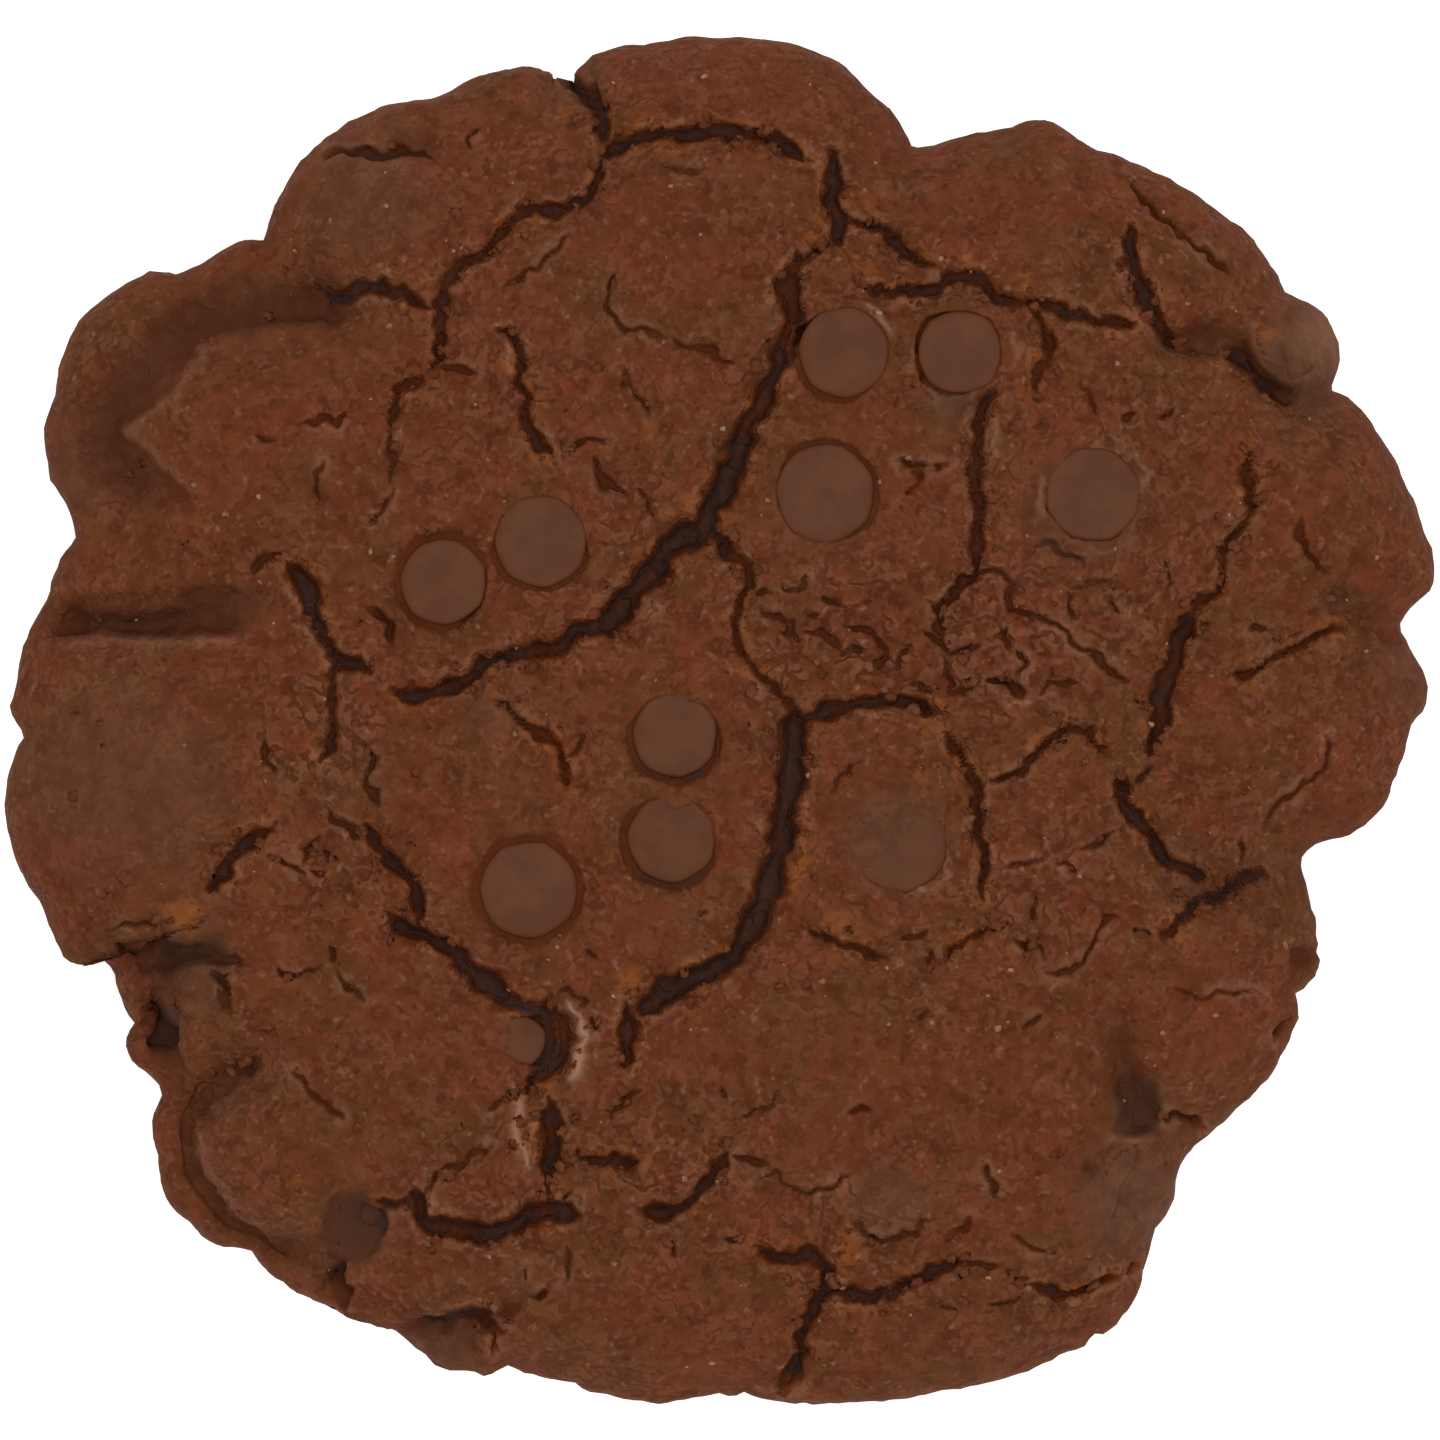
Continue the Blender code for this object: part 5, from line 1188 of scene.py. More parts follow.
    def surface(self, places: np.ndarray, normals: np.ndarray) -> tuple:
        """Carve and roughen the plain surface.

        Args:
            places: Points of the plain surface.
            normals: Its normals there.

        Returns:
            The new points, and the looks at them by name.
        """
        crust = self.crust
        x, y, z = places.T
        share = crust.outline.share(x, y)
        under = z < crust.belly - 0.01
        reading = crust.net.read(x, y)
        crack = np.maximum(reading.cut, crust.pit_cut(x, y)) + reading.roll
        ledge = crust.ledge_depth(x, y)
        cut = np.maximum(crack, ledge) + 0.4 * np.minimum(crack, ledge)
        fade = np.where(under, smoothstep(0.3, 0.85, z / crust.belly), 1.0)
        cut = cut * fade
        lip = np.exp(-(np.clip(reading.from_open, 0.0, None) / 0.7) ** 2)
        rough = (0.19 + 0.17 * lip) * crust.grain.layers(places, 2.2, 4, 0.6)
        outer = smoothstep(0.9, 0.985, share)[:, None]
        way = (1.0 - outer) * np.array((0.0, 0.0, 1.0)) + outer * normals
        way /= np.linalg.norm(way, axis=1)[:, None]
        base = smoothstep(0.7, 0.1, z)
        lift = (rough - 0.1) * (1.0 - base) + base * 0.06 * np.abs(crust.grain.at(places, 1.6))
        warped_x, warped_y = crust.net.warp(x, y)
        # Painted highlight: pale rims along the listed ridges, beside the cracks and on the pale
        # patches
        rim, rise = crust.streaks(Look.HIGHLIGHT_RIM, warped_x, warped_y)
        glow, _ = crust.streaks(Look.LIP, warped_x, warped_y)
        beside = np.exp(-((reading.from_hair - 0.22) / 0.2) ** 2)
        beside = np.maximum(beside, np.exp(-((reading.from_open - 0.25) / 0.22) ** 2))
        rim = np.maximum(rim, 0.3 * beside * smoothstep(-0.2, 0.5, crust.grain.at(places, 1.7)))
        rim = np.maximum(rim, crust.patches(PALE_PATCHES, x, y))
        moved = places + way * (lift + rise - cut)[:, None]
        whole, parts = moved[:, 2].copy(), np.zeros((2, len(x)))
        for seat in crust.seats:
            parts = np.maximum(parts, crust.seat_chip(seat, moved, lift))
        flap, ring = parts
        groove = np.clip(whole - moved[:, 2], 0.0, 1.6)
        gap = np.array((crust.box_gap, crust.box_gap, 0.0))
        moved = np.clip(moved, crust.box[0] + gap, crust.box[1] - gap)
        # Painted shade: the colour darkens with the depth of cracks, pits, ledges, valleys and chip
        # grooves, and a little towards the outer rim
        valley = crust.valley_depth(x, y) * (1.0 - 0.6 * outer[:, 0]) * fade
        dark = crack / 1.7 + ledge / 6.0 + valley / 6.0 + groove / 0.8
        dark = np.maximum(dark, 0.55 * ring) + 0.1 * smoothstep(0.93, 1.0, share)
        looks = {
            Look.PAINTED_SHADE: np.clip(dark, 0.0, 1.0),
            Look.LIP: np.maximum(np.maximum(0.8 * lip, glow), crust.patches(WARM_PATCHES, x, y)),
            # Grey cocoa patches and chip film, and painted shade that greys the valleys
            Look.SMEAR: np.maximum(crust.patches(SMEARS, x, y),
                                   np.maximum(0.45 * flap, np.clip(0.3 * valley, 0.0, 0.5))),
            # Pale rims, a painted highlight, kept off the deep cuts
            Look.HIGHLIGHT_RIM: rim * smoothstep(1.3, 0.45, cut),
            Look.CRINKLE: np.maximum(crust.patches(CRINKLED, x, y),
                                     0.8 * np.exp(-np.clip(reading.from_open, 0.0, None) / 1.6)),
        }
        return moved, looks

    def build(self) -> bpy.types.Object:
        """Build the dough's mesh, with the looks that its finish reads."""
        body = self.crown()
        self.skirt(body)
        bmesh.ops.triangulate(body, faces=[f for f in body.faces if len(f.verts) > 4])
        bmesh.ops.recalc_face_normals(body, faces=body.faces)
        if body.calc_volume(signed=True) < 0.0:
            bmesh.ops.reverse_faces(body, faces=body.faces)
        self.refine(body)
        self.settle(body)
        piece = finished_object("cookie_dough", body)
        mesh = piece.data
        count = len(mesh.vertices)
        places = np.empty(count * 3, np.float32)
        normals = np.empty(count * 3, np.float32)
        mesh.vertices.foreach_get("co", places)
        mesh.vertex_normals.foreach_get("vector", normals)
        moved, looks = self.surface(places.reshape(-1, 3).astype(float) / MM,
                                    normals.reshape(-1, 3).astype(float))
        mesh.vertices.foreach_set("co", (moved * MM).astype(np.float32).ravel())
        for look, values in looks.items():
            attribute = mesh.attributes.new(look.value, "FLOAT", "POINT")
            attribute.data.foreach_set("value", values.astype(np.float32))
        mesh.update()
        return piece

    def settle(self, body: bmesh.types.BMesh) -> None:
        """Put split edges back on the curved crust and shift the crown's points a little."""
        places = points_of(body)
        body.verts.index_update()
        ends = np.array([(e.verts[0].index, e.verts[1].index) for e in body.edges])
        lengths = np.linalg.norm(places[ends[:, 0]] - places[ends[:, 1]], axis=1)
        spacing, count = np.full(len(places), 9.0), len(places)
        for side in (0, 1):
            np.minimum.at(spacing, ends[:, side], lengths)
        draw = np.random.default_rng(self.seed)
        shift = draw.uniform(-1.0, 1.0, (count, 2)) * self.jitter * spacing[:, None]
        x, y, z = places.T
        share = self.crust.outline.share(x, y)
        crown = (share < self.crown_share - 0.01) & (z > self.crust.belly)
        places[crown, :2] += shift[crown]
        upper = z > self.crust.belly + 0.01
        places[upper, 2] = self.crust.plain_height(places[upper, 0], places[upper, 1])
        set_points(body, places)


def points_of(body: bmesh.types.BMesh) -> np.ndarray:
    """The mesh's points, one row each."""
    return np.array([v.co for v in body.verts], dtype=float)


def set_points(body: bmesh.types.BMesh, places: np.ndarray) -> None:
    """Move the mesh's points."""
    for vert, spot in zip(body.verts, places):
        vert.co = spot


def finished_object(name: str, body: bmesh.types.BMesh) -> bpy.types.Object:
    """Turn a mesh in millimetres into a smooth object in metres.

    Args:
        name: The piece's name.
        body: Its mesh, which is freed.

    Returns:
        The object, at the origin, unturned and unscaled.
    """
    bmesh.ops.transform(body, matrix=Matrix.Scale(MM, 4), verts=body.verts)
    mesh = bpy.data.meshes.new(name)
    body.to_mesh(mesh)
    body.free()
    mesh.shade_smooth()
    piece = bpy.data.objects.new(name, mesh)
    bpy.context.scene.collection.objects.link(piece)
    return piece


class NodeSheet:
    """Adds and links the nodes of one material."""

    def __init__(self, name: str) -> None:
        """Start a material with its Principled shader."""
        self.material = bpy.data.materials.new(name)
        self.material.use_nodes = True
        self.tree = self.material.node_tree
        self.shader = self.tree.nodes["Principled BSDF"]
        coordinates = self.tree.nodes.new("ShaderNodeTexCoord")
        scale = self.tree.nodes.new("ShaderNodeMapping")
        scale.inputs["Scale"].default_value = (1.0 / MM,) * 3
        self.tree.links.new(coordinates.outputs["Object"], scale.inputs["Vector"])
        self.place = scale.outputs["Vector"]

    def add(self, kind: str, inputs: dict, **settings) -> bpy.types.Node:
        """Add a node.

        Args:
            kind: The node's type name.
            inputs: A socket to link or a value to set, for each input by name or number.
            **settings: The node's own properties.

        Returns:
            The node.
        """
        node = self.tree.nodes.new(kind)
        for name, value in settings.items():
            setattr(node, name, value)
        for name, value in inputs.items():
            if isinstance(value, bpy.types.NodeSocket):
                self.tree.links.new(value, node.inputs[name])
            else:
                node.inputs[name].default_value = value
        return node

    def noise(self, size: float, detail: float = 2.0, roughness: float = 0.5,
              place: bpy.types.NodeSocket = None) -> bpy.types.NodeSocket:
        """Noise from 0 to 1 with features of a size in millimetres."""
        node = self.add("ShaderNodeTexNoise", {"Vector": place or self.place, "Scale": 1.0 / size,
                                               "Detail": detail, "Roughness": roughness})
        return node.outputs["Fac"]

    def shifted(self, shift: float) -> bpy.types.NodeSocket:
        """The place, moved so that a pattern read there differs from its twin."""
        node = self.add("ShaderNodeVectorMath", {0: self.place, 1: (shift,) * 3}, operation="ADD")
        return node.outputs["Vector"]

    def step(self, value: bpy.types.NodeSocket, low: float, high: float) -> bpy.types.NodeSocket:
        """Turn a value into 0 at low and 1 at high."""
        node = self.add("ShaderNodeMapRange", {"Value": value, "From Min": low, "From Max": high},
                        interpolation_type="SMOOTHSTEP")
        return node.outputs["Result"]

    def math(self, operation: str, first, second=0.0, third=0.0) -> bpy.types.NodeSocket:
        """One sum on up to three values."""
        node = self.add("ShaderNodeMath", {0: first, 1: second, 2: third}, operation=operation)
        return node.outputs["Value"]

    def look(self, look: Look) -> bpy.types.NodeSocket:
        """A value that the mesh carries."""
        return self.add("ShaderNodeAttribute", {}, attribute_name=look.value).outputs["Fac"]

    def blend(self, amount, first, second, mode: str = "MIX") -> bpy.types.NodeSocket:
        """Mix two colours by an amount."""
        node = self.add("ShaderNodeMix", {0: amount, 6: first, 7: second}, data_type="RGBA",
                        blend_type=mode)
        return node.outputs[2]

    def dots(self, cell: float, radius: float, softness: float, shift: float) -> tuple:
        """Scattered round dots.

        Args:
            cell: Distance between them, in millimetres.
            radius: Their radius.
            softness: Width of their soft edge.
            shift: Moves the pattern, so that two sets differ.

        Returns:
            1 on the dots and 0 between them, and a random value for each dot.
        """
        node = self.add("ShaderNodeTexVoronoi", {"Vector": self.shifted(shift),
                                                 "Scale": 1.0 / cell})
        edge = self.step(node.outputs["Distance"], (radius + softness) / cell, radius / cell)
        shade = self.add("ShaderNodeSeparateColor", {0: node.outputs["Color"]}).outputs[0]
        return edge, shade

    def finish(self, colour, roughness, height, depth: float, specular: float) -> bpy.types.Material:
        """Join the results to the shader.

        Args:
            colour: The colour's socket.
            roughness: A socket or a number.
            height: The relief's socket, from 0 to 1.
            depth: The relief's depth in millimetres.
            specular: The shader's specular level.

        Returns:
            The material.
        """
        bump = self.add("ShaderNodeBump", {"Height": height, "Distance": depth * MM,
                                           "Strength": 1.0})
        self.tree.links.new(bump.outputs["Normal"], self.shader.inputs["Normal"])
        self.tree.links.new(colour, self.shader.inputs["Base Color"])
        if isinstance(roughness, bpy.types.NodeSocket):
            self.tree.links.new(roughness, self.shader.inputs["Roughness"])
        else:
            self.shader.inputs["Roughness"].default_value = roughness
        self.shader.inputs["Specular IOR Level"].default_value = specular
        return self.material


@dataclass(frozen=True)
class BakedDough:
    """Matte baked cocoa dough: brown patches, soft grain, dents, specks and seam lines, with painted
    shade in cracks, hollows and creases and painted highlight on pale rims.
    """

    brown: tuple = (0.1250, 0.0345, 0.0124, 1.0)
    red_brown: tuple = (0.1410, 0.0312, 0.0120, 1.0)
    olive_brown: tuple = (0.1120, 0.0368, 0.0124, 1.0)
    grey_brown: tuple = (0.1060, 0.0450, 0.0235, 1.0)
    dim: tuple = (0.79, 0.76, 0.74, 1.0)
    bright: tuple = (1.11, 1.10, 1.09, 1.0)
    orange_lip: tuple = (0.2150, 0.0620, 0.0130, 1.0)
    # Painted shade in fine creases, seam lines and dents
    crease_shade: tuple = (0.0560, 0.0115, 0.0032, 1.0)
    # Pale flecks, folds and rims beside the marks: partly lighter crumb, partly painted highlight
    speck: tuple = (0.2150, 0.0930, 0.0520, 1.0)
    # Painted highlight on the pale rims
    highlight_cream: tuple = (0.3000, 0.1500, 0.0900, 1.0)
    # Painted shade colours for cracks, pits, valleys, ledges and chip grooves
    red_crack_shade: tuple = (0.0840, 0.0190, 0.0055, 1.0)
    grey_crack_shade: tuple = (0.0540, 0.0240, 0.0145, 1.0)
    dark_crack_shade: tuple = (0.0440, 0.0205, 0.0175, 1.0)
    roughness: float = 0.85
    specular: float = 0.05
    relief: float = 0.2

    def material(self) -> bpy.types.Material:
        """Make the material."""
        sheet = NodeSheet("baked_dough")
        smear, depth = sheet.look(Look.SMEAR), sheet.look(Look.PAINTED_SHADE)
        bare = sheet.math("SUBTRACT", 1.0, smear)
        busy = sheet.math("MAXIMUM", sheet.look(Look.CRINKLE),
                          sheet.math("MULTIPLY", sheet.step(sheet.noise(5.0, 2.0), 0.4, 0.6), 0.5))
        line, rim, band = self.seams(sheet, 2.6, 0.42)
        often = sheet.math("MULTIPLY_ADD", busy, 0.35, 0.2)
        often = sheet.math("MULTIPLY", sheet.math("MULTIPLY_ADD", band, 0.45, often), bare)
        dents = sheet.step(sheet.noise(0.5, 1.0, 0.5, sheet.shifted(3.7)), 0.46, 0.28)
        dents = sheet.math("MULTIPLY", dents, often)
        wrinkle, fold = self.wrinkles(sheet, 2.0, 5.3, 0.42, 0.06)
        wrinkle = sheet.math("MULTIPLY", wrinkle, sheet.math("MULTIPLY", busy, bare))
        flecks = sheet.step(sheet.noise(0.55, 1.0, 0.5, sheet.shifted(9.1)), 0.56, 0.76)
        flecks = sheet.math("MULTIPLY", flecks,
                            sheet.math("MULTIPLY_ADD", sheet.look(Look.LIP), 0.3, often))
        crease, ridge = self.wrinkles(sheet, 1.6, 17.0, 0.5, 0.12)
        crumbly = sheet.math("MULTIPLY", sheet.math("MULTIPLY_ADD", busy, 0.4, 0.45), bare)
        crease = sheet.math("MULTIPLY", crease, crumbly)
        ridge = sheet.math("MULTIPLY", sheet.math("MULTIPLY", ridge, 0.45), crumbly)
        line = sheet.math("MULTIPLY", line, sheet.math("MULTIPLY_ADD", busy, 0.4, 0.12))
        line = sheet.math("MAXIMUM", sheet.math("MULTIPLY", line, bare), wrinkle)
        # Dark marks: painted shade in wrinkles, creases, seam lines and dents
        marks = sheet.math("MAXIMUM", sheet.math("MULTIPLY", line, 0.8),
                           sheet.math("MAXIMUM", dents, crease))
        fold = sheet.math("MULTIPLY", sheet.math("MULTIPLY", fold, 0.45), busy)
        # Pale flecks, folds and ridges: partly lighter crumb, partly painted highlight beside the
        # marks
        pale = sheet.math("MAXIMUM", sheet.math("MULTIPLY_ADD", rim, 0.12, fold),
                          sheet.math("MAXIMUM", flecks, ridge))
        colour = self.patches(sheet)
        colour = sheet.blend(sheet.math("MULTIPLY", pale, 0.85), colour, self.speck)
        colour = sheet.blend(sheet.math("MULTIPLY", sheet.look(Look.HIGHLIGHT_RIM), 0.8), colour, self.highlight_cream)
        clear = sheet.math("MULTIPLY_ADD", sheet.look(Look.HIGHLIGHT_RIM), -0.8, 0.8)
        colour = sheet.blend(sheet.math("MULTIPLY", marks, clear), colour, self.crease_shade)
        # Painted shade: blotchy darkening towards these colours with the painted-shade value
        cool = sheet.math("MULTIPLY", sheet.step(sheet.noise(2.6, 2.0), 0.3, 0.5),
                          sheet.step(depth, 0.6, 0.95))
        floor = sheet.blend(smear, self.red_crack_shade, self.grey_crack_shade)
        floor = sheet.blend(cool, floor, self.dark_crack_shade)
        blotched = sheet.math("MULTIPLY_ADD", sheet.noise(1.0, 3.0, 0.6), 1.3, 0.35)
        blotched = sheet.math("MULTIPLY", blotched, depth)
        colour = sheet.blend(sheet.math("MULTIPLY", sheet.step(blotched, 0.02, 0.48), 0.84),
                             colour, floor)
        height = sheet.math("MULTIPLY_ADD", sheet.noise(0.9, 3.0, 0.6), 0.9, 0.2)
        sunk, raised = sheet.math("MAXIMUM", wrinkle, crease), sheet.math("MAXIMUM", fold, ridge)
        height = sheet.math("MULTIPLY_ADD", sunk, -0.5, height)
        height = sheet.math("MULTIPLY_ADD", raised, 0.4, height)
        return sheet.finish(colour, self.roughness, height, self.relief, self.specular)

    def patches(self, sheet: NodeSheet) -> bpy.types.NodeSocket:
        """The crust's colour without its marks: olive, ruddy, greyish and orange patches."""
        olive = sheet.step(sheet.noise(7.5, 3.0, 0.6), 0.42, 0.6)
        ruddy = sheet.step(sheet.noise(3.4, 3.0, 0.6), 0.5, 0.66)
        colour = sheet.blend(olive, self.brown, self.olive_brown)
        colour = sheet.blend(sheet.math("MULTIPLY", ruddy, 0.7), colour, self.red_brown)
        colour = sheet.blend(sheet.look(Look.SMEAR), colour, self.grey_brown)
        lip = sheet.look(Look.LIP)
        warm = sheet.step(sheet.math("MULTIPLY_ADD", lip, 0.22, sheet.noise(1.9, 2.0)), 0.56, 0.76)
        colour = sheet.blend(sheet.math("MULTIPLY", sheet.math("MULTIPLY", warm, lip), 0.8),
                             colour, self.orange_lip)
        tone = sheet.blend(sheet.step(sheet.noise(1.6, 3.0, 0.65, sheet.shifted(13.0)), 0.3, 0.7),
                           self.dim, self.bright)
        return sheet.blend(1.0, colour, tone, "MULTIPLY")

    def wrinkles(self, sheet: NodeSheet, length: float, shift: float, rarity: float,
                 width: float) -> tuple:
        """Short curved wrinkles.

        Args:
            sheet: The material's nodes.
            length: Their typical length, in millimetres.
            shift: Moves the pattern.
            rarity: Level of the noise below which there are none, about 0.5.
            width: Their width, as a step of the noise that they follow.

        Returns:
            1 in the wrinkles and 0 between them, and the same for the folds beside them; the wrinkles
            are coloured as painted shade and the folds partly as painted highlight.
        """
        place = sheet.shifted(shift)
        wave = sheet.noise(length, 2.5, 0.6, place)
        away = sheet.math("ABSOLUTE", sheet.math("SUBTRACT", wave, 0.5))
        open_share = sheet.step(sheet.noise(0.8 * length, 1.0, 0.5, sheet.shifted(shift + 8.0)),
                                rarity, rarity + 0.13)
        line = sheet.math("MULTIPLY", sheet.step(away, width, 0.1 * width), open_share)
        fold = sheet.math("MULTIPLY", sheet.step(away, 2.3 * width, 1.3 * width), open_share)
        return line, sheet.math("SUBTRACT", fold, line)

    def seams(self, sheet: NodeSheet, cell: float, width: float) -> tuple:
        """Hair lines that come and go between small plates of crust.

        Args:
            sheet: The material's nodes.
            cell: Size of the plates, in millimetres.
            width: Greatest width of the lines.

        Returns:
            1 on the lines and 0 between them, and the same for the pale rims beside the lines and for
            the wider crumbly band along each seam.
            The lines are coloured as painted shade and the rims partly as painted highlight.
        """
        warp = sheet.add("ShaderNodeTexNoise", {"Vector": sheet.place, "Scale": 2.2 / cell,
                                                "Detail": 1.0})
        bent = sheet.add("ShaderNodeVectorMath", {0: warp.outputs["Color"], 1: (0.7 * cell,) * 3,
                                                  2: sheet.place},
                         operation="MULTIPLY_ADD").outputs["Vector"]
        cells = sheet.add("ShaderNodeTexVoronoi", {"Vector": bent, "Scale": 1.0 / cell},
                          feature="DISTANCE_TO_EDGE")
        half = sheet.math("MULTIPLY_ADD", sheet.step(sheet.noise(1.3 * cell), 0.48, 0.66),
                          0.5 * width / cell, 0.0005)
        away = sheet.math("DIVIDE", cells.outputs["Distance"], half)
        line = sheet.step(away, 1.0, 0.1)
        rim = sheet.math("SUBTRACT", sheet.step(away, 2.6, 1.2), line)
        return line, rim, sheet.step(cells.outputs["Distance"], 0.14, 0.04)


@dataclass(frozen=True)
class SatinChocolate:
    """Smooth satin chocolate with faint cloudy patches, a little dust and painted shade on chips set
    deep in the crust.
    """

    brown: tuple = (0.0900, 0.0265, 0.0090, 1.0)
    cloud: tuple = (0.1060, 0.0345, 0.0135, 1.0)
    dust: tuple = (0.0780, 0.0190, 0.0050, 1.0)
    # Painted shade for chips that sit deep in their hollows
    shade: tuple = (0.0200, 0.0060, 0.0030, 1.0)
    roughness: float = 0.45
    specular: float = 0.09

    def material(self) -> bpy.types.Material:
        """Make the material."""
        sheet = NodeSheet("satin_chocolate")
        clouds = sheet.noise(2.4, 3.0, 0.55)
        colour = sheet.blend(sheet.step(clouds, 0.35, 0.65), self.brown, self.cloud)
        dust, odds = sheet.dots(0.7, 0.05, 0.1, 5.5)
        dust = sheet.math("MULTIPLY", dust, sheet.step(odds, 0.6, 0.9))
        colour = sheet.blend(sheet.math("MULTIPLY", dust, 0.5), colour, self.dust)
        # Painted shade, by the chip's painted-shade value
        colour = sheet.blend(sheet.look(Look.PAINTED_SHADE), colour, self.shade)
        height = sheet.math("MULTIPLY_ADD", sheet.noise(0.5, 3.0), 0.5, clouds)
        return sheet.finish(colour, self.roughness, height, 0.05, self.specular)


@dataclass(frozen=True)
class CrumbFinish:
    """Loose crumbs of the dough, some a little lighter than the crust."""

    brown: tuple = (0.115, 0.0320, 0.0118, 1.0)
    light: tuple = (0.150, 0.0490, 0.0210, 1.0)
    roughness: float = 0.85
    specular: float = 0.05

    def material(self) -> bpy.types.Material:
        """Make the material."""
        sheet = NodeSheet("dough_crumbs")
        tone = sheet.step(sheet.noise(1.1, 2.0), 0.4, 0.7)
        colour = sheet.blend(tone, self.brown, self.light)
        return sheet.finish(colour, self.roughness, sheet.noise(0.2, 3.0), 0.08, self.specular)


@dataclass(frozen=True)
class GrainFinish:
    """Pale grains, tan to off-white."""

    tan: tuple = (0.190, 0.084, 0.045, 1.0)
    pale: tuple = (0.300, 0.165, 0.100, 1.0)
    roughness: float = 0.55
    specular: float = 0.2

    def material(self) -> bpy.types.Material:
        """Make the material."""
        sheet = NodeSheet("sugar_grains")
        tone = sheet.step(sheet.noise(0.9, 1.0), 0.42, 0.66)
        colour = sheet.blend(tone, self.tan, self.pale)
        return sheet.finish(colour, self.roughness, sheet.noise(0.15, 2.0), 0.03, self.specular)


@dataclass
class ChocolateChip:
    """One chip: a drop with a flat round face and a soft rim."""

    name: str
    seat: ChipSeat
    grain: Grain
    sides: int = 56
    profile: tuple[tuple[float, float], ...] = (
        (0.3, 0.0), (0.6, 0.0), (0.8, 0.0), (0.91, 0.002), (0.96, 0.012), (0.99, 0.034),
        (1.0, 0.07), (1.0, 0.15), (0.985, 0.26), (0.93, 0.42), (0.78, 0.62), (0.55, 0.82),
        (0.25, 0.96))

    def build(self) -> bpy.types.Object:
        """Turn the profile, lean it into its seat and dent it a little."""
        body = bmesh.new()
        points = [(0.0, 0.0), *self.profile, (0.0, 1.0)]
        verts = [body.verts.new((self.seat.radius * out, 0.0, -self.seat.length * down))
                 for out, down in points]
        edges = [body.edges.new(pair) for pair in zip(verts[:-1], verts[1:])]
        bmesh.ops.spin(body, geom=verts + edges, cent=(0, 0, 0), axis=(0, 0, 1),
                       dvec=(0, 0, 0), angle=math.tau, steps=self.sides, use_merge=True)
        bmesh.ops.remove_doubles(body, verts=body.verts, dist=1e-4)
        bmesh.ops.recalc_face_normals(body, faces=body.faces)
        places = points_of(body)
        shift = 0.05 * self.grain.layers(places + self.seat.middle, 1.9, 2, 0.5) - 0.03
        outward = places / np.maximum(np.linalg.norm(places, axis=1), 0.5)[:, None]
        outward[:, 2] = np.where(places[:, 2] > -0.2, 1.0, outward[:, 2])
        share = self.seat.reach(np.arctan2(places[:, 1], places[:, 0])) / self.seat.radius
        places[:, :2] *= share[:, None]
        set_points(body, places + outward * shift[:, None])
        bmesh.ops.transform(body, matrix=self.seat.place(), verts=body.verts)
        piece = finished_object(self.name, body)
        # Painted shade that darkens a chip set deep in its hollow
        shade = piece.data.attributes.new(Look.PAINTED_SHADE.value, "FLOAT", "POINT")
        shade.data.foreach_set("value", [self.seat.cover.shade] * len(piece.data.vertices))
        return piece


@dataclass
class Scatter:
    """Small lumps joined into one piece: crumbs or sugar grains on the crust."""

    name: str
    sizes: tuple[float, float]
    detail: int = 1
    squash: float = 0.75
    roughness: float = 0.4
    batch: int = 60

    def build(self, spots: np.ndarray, seed: int) -> bpy.types.Object:
        """Make the piece.

        Args:
            spots: Where the lumps sit, one row each, in millimetres.
            seed: Sets their sizes and turns.

        Returns:
            The object.
        """
        draw = np.random.default_rng(seed)
        body = bmesh.new()
        for start in range(0, len(spots), self.batch):
            part = bmesh.new()
            for spot in spots[start:start + self.batch]:
                self.add_lump(part, spot, draw)
            mesh = bpy.data.meshes.new("batch")
            part.to_mesh(mesh)
            part.free()
            body.from_mesh(mesh)
            bpy.data.meshes.remove(mesh)
        bmesh.ops.recalc_face_normals(body, faces=body.faces)
        return finished_object(self.name, body)

    def add_lump(self, part: bmesh.types.BMesh, spot: np.ndarray,
                 draw: np.random.Generator) -> None:
        """Add one lump of a drawn size, turn and shape."""
        radius = self.sizes[0] + (self.sizes[1] - self.sizes[0]) * draw.random() ** 2.5
        turn = Matrix.Rotation(draw.uniform(0, math.tau), 4, Vector(draw.normal(size=3)))
        shape = Matrix.Diagonal((draw.uniform(0.8, 1.35), draw.uniform(0.7, 1.1),
                                 self.squash, 1.0))
        sunk = Matrix.Translation(spot - np.array((0.0, 0.0, 0.3 * radius)))
        lump = bmesh.ops.create_icosphere(part, subdivisions=self.detail, radius=radius,
                                          matrix=sunk @ turn @ shape)
        for vert in lump["verts"]:
            vert.co += Vector(draw.uniform(-1, 1, 3)) * radius * self.roughness


